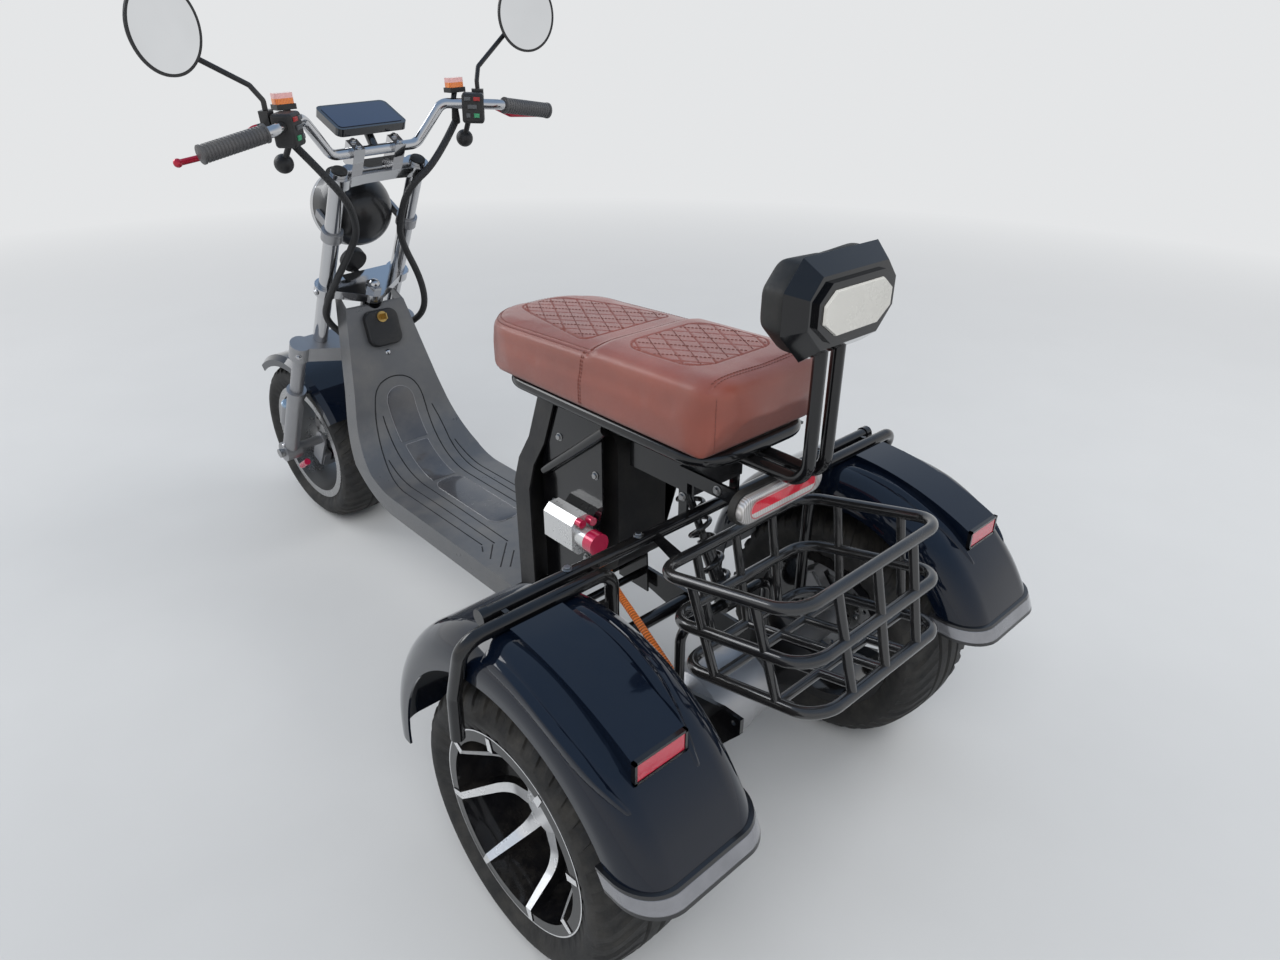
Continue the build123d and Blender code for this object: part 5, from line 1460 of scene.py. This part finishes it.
class TRIKE_OT_fender_trim(bpy.types.Operator):
    """Raises the crests on the rear fenders and frames their reflectors"""

    bl_idname = "trike.fender_trim"
    bl_label = "Fender Crests"

    def execute(self, context):
        crests = [crest_mesh(side, line) for side in SIDES for line in (OUTER_CREST, INNER_CREST)]
        add_object("fender_crests", joined(crests), "blue_paint", "chassis")
        bars = [bar for side in SIDES for bar in bezel_meshes(side)]
        add_object("reflector_bezels", joined(bars), "shell_gloss", "chassis", smooth=False)
        ends = [[placed(*mirrored(end, side)) for end in SEAT_BRACE] for side in SIDES]
        braces = [tube_mesh(pair, BRACE_RADIUS, 24) for pair in ends]
        add_edged("seat_braces", braces, "black_paint", "chassis", 50)
        return {"FINISHED"}


# Fasteners

# The chassis's bolts on the left, as a place and the way that the head faces. The right ones mirror them.
CHASSIS_BOLTS = [
    ((0.0955, -0.352, 0.52), LEFT),
    ((0.0955, -0.33, 0.66), LEFT),
    ((0.0955, -0.232, 0.62), LEFT),
    ((0.0955, -0.352, 0.33), LEFT),
    ((0.0955, -0.262, 0.44), LEFT),
    ((0.30, -0.053, 0.607), UP),
    ((0.16, -0.053, 0.607), UP),
    ((0.042, -0.0348, 0.722), BACK),
    ((0.0645, -0.053, 0.64), LEFT),
    ((0.0645, 0.02, 0.68), LEFT),
    ((0.382, 0.052, 0.5835), UP),
]
# The fork's bolts in the same way, across, behind and up along the fork.
FORK_BOLTS = [
    ((0.1245, 0.004, 0.905), (1, 0, 0)),
    ((0.1245, 0.004, 0.594), (1, 0, 0)),
    ((0.1655, 0.0205, 0.405), (1, 1, 0)),
    ((0.172, 0.0, 0.03), (1, 0, 0)),
]
# The radii of the heads on the chassis, the fork and the discs.
CHASSIS_HEAD, FORK_HEAD, DISC_HEAD = 0.0058, 0.0055, 0.0048
# The bar clamps' bolts, across and behind the bar's foot.
CLAMP_BOLTS = [(0.05, -0.011), (0.05, 0.011)]
# The disc's bolts: how many, how far out, and how far from the wheel's middle.
DISC_BOLTS, DISC_BOLT_REACH, DISC_FACE = 5, 0.046, 0.0272
# The screw in the neck, as its distance down from the top.
NECK_SCREW = 0.175


def fork_place(x, y, z):
    """A place across, behind and up along the fork, turned to where the steering is parked."""
    return steered(FORK_FOOT + LEFT * x + FORK_BEHIND * y + FORK_UP * z)


def fork_way(x, y, z):
    return (fork_place(x, y, z) - fork_place(0, 0, 0)).normalized()


def bolt_mesh(radius, sides=6):
    """A flanged hexagon head standing on the ground plane."""
    flange = [(-0.001, 0.0), (-0.001, radius * 1.35), (0.0008, radius * 1.35), (0.0012, radius * 1.2), (0.0012, 0.0)]
    corners = [radius * Vector((cos(2 * pi * k / sides), sin(2 * pi * k / sides), 0)) for k in range(sides)]
    height = radius * 0.8
    levels = ((0.001, 1.0), (height * 0.8, 1.0), (height, 0.86))
    rings = [[share * corner + z * UP for corner in corners] for z, share in levels]
    return joined([turned_mesh(flange, (0, 0, 0), UP, 20), lofted(rings)])


def add_bolts(name, radius, rows, finish, body):
    """Sets bolts at rows of (place, outward), with any turn about the bolt."""
    spots = [(place, way.normalized(), way.orthogonal().normalized()) for place, way in rows]
    add_object(name, scattered(name, bolt_mesh(radius), spots, finish), finish, body, smooth=False)


def disc_bolts(wheel, way):
    """The bolts that hold a wheel's disc to its hub, on the side that faces a way along the axle."""
    centre, axle, up = wheel_frame(wheel)
    turns = [Matrix.Rotation(2 * pi * k / DISC_BOLTS, 3, axle) @ up for k in range(DISC_BOLTS)]
    return [(centre + axle * way * DISC_FACE + turn * DISC_BOLT_REACH, axle * way) for turn in turns]


class TRIKE_OT_fasteners(bpy.types.Operator):
    """Sets bolts, nuts and screws where the pieces are held"""

    bl_idname = "trike.fasteners"
    bl_label = "Fasteners"

    def execute(self, context):
        rows = [(placed(*mirrored(place, side)), mirrored(way, side)) for side in SIDES for place, way in CHASSIS_BOLTS]
        add_bolts("chassis_bolts", CHASSIS_HEAD, rows, "steel", "chassis")

        rows = []
        for side in SIDES:
            rows += [(fork_place(*mirrored(place, side)), fork_way(*mirrored(way, side))) for place, way in FORK_BOLTS]
            shift = BAR_FOOT - fork_place(0, 0, 0)
            rows += [(fork_place(side * across, behind, 0) + shift, FORK_UP) for across, behind in CLAMP_BOLTS]
        add_bolts("fork_bolts", FORK_HEAD, rows, "chrome", "front_end")

        for wheel, way in WHEELS.items():
            add_bolts(wheel + "_disc_bolts", DISC_HEAD, disc_bolts(wheel, way), "steel", wheel + "_wheel")

        profile = [(-0.001, 0), (-0.001, 0.007), (0.0012, 0.007), (0.0035, 0.004), (0.0035, 0)]
        foot, tip = (deck_place(0, NECK_SCREW, lift) for lift in (0, 1))
        screw = scattered("neck_screw", turned_mesh(profile, (0, 0, 0), UP, 24), [(foot, tip - foot, LEFT)], "chrome")
        add_object("neck_screw", screw, "chrome", "chassis")
        return {"FINISHED"}


# Handlebar trim

# The left half of the bar, from its tip by its two bends.
BAR_TIP, BAR_BEND = (0.403, -0.962, 1.114), (0.262, -0.962, 1.139)
BAR_KNEE = (0.166, -1.040, 1.146)
BAR_FOOT = steered(placed(0, -1.066, 1.066)) + FORK_UP * 0.0205
# Where each switch housing sits, as a share of the way from knee to bend.
SWITCH_SHARE = 0.56
GRIP_RADIUS, RIB_RADIUS, FLANGE_RADIUS = 0.0152, 0.0166, 0.0175
GRIP_RIBS = 17
DISPLAY_TILT = radians(24.7)
DISPLAY_PLACE = (0, -1.102, 1.127)
# The display's glass: half its width and depth, its corners' round, and the levels of its two faces.
GLASS_OUTLINE, GLASS_LEVELS = (0.076, 0.041, 0.009), (0.0082, 0.0098)
# The middle of the headlamp's mouth, and a place ahead that it aims at.
LAMP_FACE, LAMP_AIM = (0, -1.204, 0.926), (0, -2.204, 0.806)
# The headlamp's bright ring as (ahead, radius).
LAMP_RING = [(0.0285, 0.0835), (0.029, 0.0862), (0.036, 0.0862), (0.044, 0.0855), (0.0455, 0.0835), (0.044, 0.0812)]
LAMP_RING += [(0.0425, 0.082), (0.032, 0.0834)]
# Small turned pieces that stand along the fork, as a place on it and (up, radius) rows.
FORK_PLUG = (0.097, 0, 0.9242), [(0.0, 0.0), (0.0, 0.0165), (0.0025, 0.0165), (0.004, 0.014), (0.004, 0.0)]
STEM_DOME = (
    (0, 0.048, 0.6215),
    [(0.0, 0.0), (0.0, 0.0135), (0.006, 0.0125), (0.011, 0.009), (0.0135, 0.004), (0.014, 0.0)],
)
CAP = (0.150, -0.036, 0.1575), [(0.0, 0.0), (0.0, 0.0158), (0.006, 0.0158), (0.009, 0.013), (0.009, 0.0)]
# The caliper's spring: its foot on the fork, its way, its turns' count and pitch, and one turn's section.
SPRING_FOOT, SPRING_WAY, SPRING_TURNS, SPRING_PITCH = (0.128, 0.030, -0.052), (0, 0.5, 1), 11, 0.0045
SPRING_RING = [(0, 0), (0, 0.009), (0.003, 0.009), (0.003, 0)]


def grip_mesh(side):
    """A rubber grip with raised ribs and a flange at each end, round the bar."""
    start, end = (steered(placed(*mirrored(point, side))) for point in (BAR_BEND, BAR_TIP))
    length = (end - start).length
    low, high = length * 0.12, length * 1.03
    profile = [(low, 0.0), (low, FLANGE_RADIUS), (low + 0.004, FLANGE_RADIUS), (low + 0.005, GRIP_RADIUS)]
    pitch = (high - low - 0.016) / GRIP_RIBS
    for k in range(GRIP_RIBS):
        begin = low + 0.008 + pitch * k
        for share, radius in ((0, GRIP_RADIUS), (0.2, RIB_RADIUS), (0.7, RIB_RADIUS), (0.9, GRIP_RADIUS)):
            profile.append((begin + pitch * share, radius))
    profile += [(high - 0.006, GRIP_RADIUS), (high - 0.005, FLANGE_RADIUS), (high - 0.001, FLANGE_RADIUS)]
    return turned_mesh(profile + [(high, 0.016), (high, 0.0)], start, end - start)


def rounded_corners(half_x, half_y, turn, steps=5):
    """The outline of a rounded rectangle, anticlockwise."""
    outline = []
    for quarter, (sx, sy) in enumerate(((1, 1), (-1, 1), (-1, -1), (1, -1))):
        for k in range(steps + 1):
            angle = pi / 2 * (quarter + k / steps)
            outline.append((sx * (half_x - turn) + turn * cos(angle), sy * (half_y - turn) + turn * sin(angle)))
    return outline


def display_point(x, y, z):
    """A place in the display's own frame, its Z out of the glass."""
    back, out = Vector((0, cos(DISPLAY_TILT), -sin(DISPLAY_TILT))), Vector((0, sin(DISPLAY_TILT), cos(DISPLAY_TILT)))
    return steered(placed(*(Vector(DISPLAY_PLACE) + LEFT * x + back * y + out * z)))


def on_fork(piece, side=1):
    """A small turned piece standing along the fork."""
    place, profile = piece
    return turned_mesh(profile, fork_place(*mirrored(place, side)), FORK_UP)


def loom_boot(side, loom):
    """The tapered rubber boot that carries a loom's end up to the bar."""
    start = Vector(LOOMS[loom][0])
    knee, bend = mirrored(BAR_KNEE, side), mirrored(BAR_BEND, side)
    end = knee.lerp(bend, (start - knee).dot(bend - knee) / (bend - knee).length_squared)
    low, high = steered(placed(*start)), steered(placed(*end))
    reach = (high - low).length
    profile = [(-0.005, 0.0), (-0.005, 0.0092), (0.005, 0.0092), (reach, 0.0062), (reach, 0.0)]
    return turned_mesh(profile, low, high - low, 24)


def switch_place(side, x, y, z):
    """A place in the switch housing's own frame: out along the bar, behind it and up."""
    knee, bend = Vector(BAR_KNEE), Vector(BAR_BEND)
    out = (bend - knee).normalized()
    up = (UP - out * out.z).normalized()
    point = knee + (bend - knee) * SWITCH_SHARE + out * x + up.cross(out) * y + up * z
    return steered(placed(*mirrored(point, side)))


# How far behind the housing's middle a button's foot, shoulder and top lie, and how far each draws in.
BUTTON_LEVELS = [(0.0215, 0.0), (0.0248, 0.0), (0.026, 0.0012)]
# Buttons on each switch housing as finish, across, up, width and height.
BUTTONS = [
    ("button_grey", -0.011, 0.012, 0.014, 0.008),
    ("button_red", 0.009, 0.012, 0.014, 0.008),
    ("button_grey", -0.001, -0.004, 0.020, 0.009),
    ("button_grey", -0.010, -0.022, 0.009, 0.009),
    ("button_green", 0.008, -0.022, 0.012, 0.009),
]


def button_mesh(side, x, z, width, height):
    """A rocker button standing on the switch housing's rear face."""
    rings = []
    for y, inset in BUTTON_LEVELS:
        w, h = width / 2 - inset, height / 2 - inset
        rings.append([switch_place(side, x + a * w, y, z + b * h) for a, b in ((-1, -1), (1, -1), (1, 1), (-1, 1))])
    return lofted(rings)


class TRIKE_OT_bar_trim(bpy.types.Operator):
    """Builds the ribbed grips, the switch buttons, the display's glass and the fork's small trim"""

    bl_idname = "trike.bar_trim"
    bl_label = "Handlebar Trim"

    def execute(self, context):
        body = "front_end"
        add_edged("ribbed_grips", [grip_mesh(side) for side in SIDES], "grip_rubber", body, 40, ["grips"])
        for finish in ("button_grey", "button_red", "button_green"):
            meshes = [button_mesh(side, *row[1:]) for side in SIDES for row in BUTTONS if row[0] == finish]
            add_object("switch_" + finish, joined(meshes), finish, body, smooth=False)
        face, aim = steered(placed(*LAMP_FACE)), steered(placed(*LAMP_AIM))
        add_edged("headlamp_ring", [turned_mesh(LAMP_RING, face, aim - face, 64)], "chrome", body)
        outline = rounded_corners(*GLASS_OUTLINE)
        glass = lofted([[display_point(x, y, z) for x, y in outline] for z in GLASS_LEVELS])
        add_object("display_face", glass, "navy_glass", body, smooth=False)
        add_edged("fork_plugs", [on_fork(FORK_PLUG, side) for side in SIDES], "rubber", body)
        boots = [loom_boot(1, "cable_loop_left"), loom_boot(-1, "cable_loop_right")]
        add_edged("loom_boots", boots, "rubber", body)
        add_object("stem_dome", on_fork(STEM_DOME), "chrome", body)
        add_edged("reservoir_cap", [on_fork(CAP)], "pale_blue_cap", body)
        foot, way = fork_place(*SPRING_FOOT), fork_way(*SPRING_WAY)
        turns = [turned_mesh(SPRING_RING, foot + way * (SPRING_PITCH * k), way, 20) for k in range(SPRING_TURNS)]
        add_object("caliper_spring", joined(turns), "red_cap", body, smooth=False)
        return {"FINISHED"}


# Looms

# Route points from the ground below the rear axle, in metres. The first ones turn with the bars.
LOOM_TURNED = 5
LOOMS = {
    "cable_loop_left": [
        (0.200, -1.040, 1.108),
        (0.150, -1.016, 1.036),
        (0.106, -1.020, 0.972),
        (0.062, -1.090, 0.900),
        (0.060, -1.138, 0.850),
        (0.116, -1.184, 0.730),
        (0.108, -1.2384, 0.668),
        (0.060, -1.234, 0.612),
        (0.044, -1.192, 0.560),
    ],
    "cable_loop_right": [
        (-0.200, -1.040, 1.108),
        (-0.122, -1.020, 1.030),
        (-0.054, -1.046, 0.980),
        (-0.058, -1.104, 0.905),
        (-0.070, -1.140, 0.850),
        (-0.118, -1.148, 0.740),
        (-0.126, -1.164, 0.660),
        (-0.104, -1.230, 0.612),
        (-0.056, -1.238, 0.585),
        (-0.044, -1.196, 0.545),
    ],
}
# The orange conduit's route, and the radii of the looms and of the conduit.
CONDUIT = [(0.045, -0.260, 0.3997), (0.045, -0.260, 0.370), (0.080, -0.150, 0.362), (0.080, -0.040, 0.288)]
LOOM_RADIUS, CONDUIT_RADIUS = 0.008, 0.007


class TRIKE_OT_looms(bpy.types.Operator):
    """Builds the looms from the bars and the orange sleeve to the motor"""

    bl_idname = "trike.looms"
    bl_label = "Looms"

    def execute(self, context):
        for node, route in LOOMS.items():
            places = [placed(*p) for p in route]
            places = [steered(p) if i < LOOM_TURNED else p for i, p in enumerate(places)]
            line = spline_points(places)
            loom = add_object(node + "_sleeve", tube_mesh(line, LOOM_RADIUS, 16), "loom", None, [node])
            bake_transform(loom)
        sleeve = tube_mesh(spline_points([placed(*p) for p in CONDUIT]), CONDUIT_RADIUS, 16)
        add_object("orange_conduit_sleeve", sleeve, "orange_sleeve", "chassis", ["orange_conduit"])
        return {"FINISHED"}


# Stage

# Lamps as place, aim, size in metres and power in watts.
STUDIO_LAMPS = [
    ("key", (2.4, 2.6, 3.8), (0, 0.2, 0.4), (3.4, 2.4), 120.0),
    ("side", (-3.2, 1.6, 2.8), (0, 0, 0.5), (2.8, 1.4), 55.0),
    ("front", (1.8, -3.4, 2.9), (0, -0.4, 0.5), (2.8, 1.6), 60.0),
]
# How far out the floor begins to fade into the background, and where it has.
FLOOR_FADE = (1.4, 6.0)
HORIZON_GLOW = (0.78, 0.79, 0.8)
# The camera's place, its angles down, to the side and round in degrees, and its focal length in sensor widths.
CAMERA_PLACE = (0.943, 0.7944, 1.306)
CAMERA_ANGLES = (27.567, -0.294, 42.85)
CAMERA_REACH = 870.0 / 1280.0


def background_rays(tree):
    """One for the rays that show the background: from the camera, or off metal, or through glass."""
    path = tree.nodes.new("ShaderNodeLightPath")
    seen = maths(tree, "MAXIMUM", path.outputs["Is Camera Ray"], path.outputs["Is Glossy Ray"])
    return maths(tree, "MAXIMUM", seen, path.outputs["Is Transmission Ray"])


def mixed_shader(tree, factor, first, second, end):
    """Two shaders mixed by a factor, into the tree's end."""
    mixed = tree.nodes.new("ShaderNodeMixShader")
    for socket, source in zip(mixed.inputs, (factor, first.outputs[0], second.outputs[0])):
        tree.links.new(source, socket)
    tree.links.new(mixed.outputs[0], end.inputs[0])


def pale_floor():
    """Plain pale ground that fades into the background away from the vehicle."""
    material, tree, bsdf, where = blank_material("pale_floor", Roughness=0.75)
    mottle = noise(tree, where, 2.5, 4.0)
    feed(tree, bsdf, Base_Color=blend_colours(tree, mottle, (0.58, 0.585, 0.58), (0.63, 0.635, 0.63)))
    parts = parts_of(tree, where)
    far = times(tree, stretch(tree, span_of(tree, parts["X"], parts["Y"]), *FLOOR_FADE), background_rays(tree))
    glow = add_node(tree, "ShaderNodeEmission", Color=HORIZON_GLOW)
    mixed_shader(tree, far, bsdf, glow, tree.nodes["Material Output"])
    return material


def soft_sky():
    """A pale sky that is white at the horizon and a soft blue overhead."""
    world = bpy.data.worlds.new("soft_sky")
    world.use_nodes = True
    tree = world.node_tree
    tree.nodes.clear()
    way = tree.nodes.new("ShaderNodeTexCoord").outputs["Generated"]
    height = stretch(tree, parts_of(tree, way)["Z"], 0.12, 0.75)
    light = add_node(tree, "ShaderNodeBackground", Color=(0.86, 0.91, 1.0), Strength=0.55)
    shown = add_node(tree, "ShaderNodeBackground", Color=blend_colours(tree, height, HORIZON_GLOW, (0.3, 0.42, 0.6)))
    mixed_shader(tree, background_rays(tree), light, shown, tree.nodes.new("ShaderNodeOutputWorld"))
    return world


class TRIKE_OT_stage(bpy.types.Operator):
    """Sets the floor, the lamps and the camera"""

    bl_idname = "trike.stage"
    bl_label = "Stage"

    def execute(self, context):
        scene = context.scene
        corners = [(-90, -90, 0), (90, -90, 0), (90, 90, 0), (-90, 90, 0)]
        ground = linked("floor", mesh_of(corners, [(0, 1, 2, 3)], "floor"))
        ground.data.materials.append(pale_floor())
        scene.world = soft_sky()
        for name, place, aim, size, power in STUDIO_LAMPS:
            light = bpy.data.lights.new(name, "AREA")
            light.shape = "RECTANGLE"
            light.energy, light.size, light.size_y = power, *size
            lamp = linked(name, light)
            lamp.location = place
            lamp.visible_glossy = name == "front"
            lamp.rotation_euler = (Vector(aim) - Vector(place)).to_track_quat("-Z", "Y").to_euler()
        lens = bpy.data.cameras.new("camera")
        lens.sensor_width = 36.0
        lens.lens = 36.0 * CAMERA_REACH
        camera = linked("camera", lens)
        camera.location = placed(*CAMERA_PLACE)
        pitch, roll, yaw = map(radians, CAMERA_ANGLES)
        ahead = cos(pitch) * Vector((-sin(yaw), -cos(yaw), 0)) - sin(pitch) * UP
        right = ahead.cross(UP).normalized()
        down = ahead.cross(right)
        tilted = cos(roll) * right + sin(roll) * down
        down = -sin(roll) * right + cos(roll) * down
        camera.rotation_euler = Matrix((tilted, -down, -ahead)).transposed().to_euler()
        scene.camera = camera
        scene.view_settings.view_transform = "Standard"
        return {"FINISHED"}


STEPS = [
    TRIKE_OT_finishes,
    TRIKE_OT_tyres,
    TRIKE_OT_looms,
    TRIKE_OT_seat,
    TRIKE_OT_backrest,
    TRIKE_OT_deck,
    TRIKE_OT_fender_trim,
    TRIKE_OT_bar_trim,
    TRIKE_OT_fasteners,
    TRIKE_OT_stage,
]


class TRIKE_PT_panel(bpy.types.Panel):
    """The trike's steps and settings in the sidebar"""

    bl_label = "Trike"
    bl_idname = "TRIKE_PT_panel"
    bl_space_type = "VIEW_3D"
    bl_region_type = "UI"
    bl_category = "Trike"

    def draw(self, context):
        layout = self.layout
        for operator in STEPS:
            layout.operator(operator.bl_idname)
        for name in SETTINGS:
            group = getattr(context.scene, name)
            for size in group.__annotations__:
                layout.prop(group, size)


SETTINGS = {
    "trike_tread": TrikeTreadSettings,
    "trike_seat": TrikeSeatSettings,
    "trike_colours": TrikeColourSettings,
}


def register():
    for kind in (*SETTINGS.values(), *STEPS, TRIKE_PT_panel):
        bpy.utils.register_class(kind)
    for name, kind in SETTINGS.items():
        setattr(bpy.types.Scene, name, bpy.props.PointerProperty(type=kind))


def unregister():
    for name in SETTINGS:
        delattr(bpy.types.Scene, name)
    for kind in (TRIKE_PT_panel, *STEPS, *SETTINGS.values()):
        bpy.utils.unregister_class(kind)


def main():
    """Registers the add-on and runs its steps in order."""
    register()
    for operator in STEPS:
        getattr(bpy.ops.trike, operator.bl_idname.split(".")[1])()


if __name__ == "__main__":
    main()
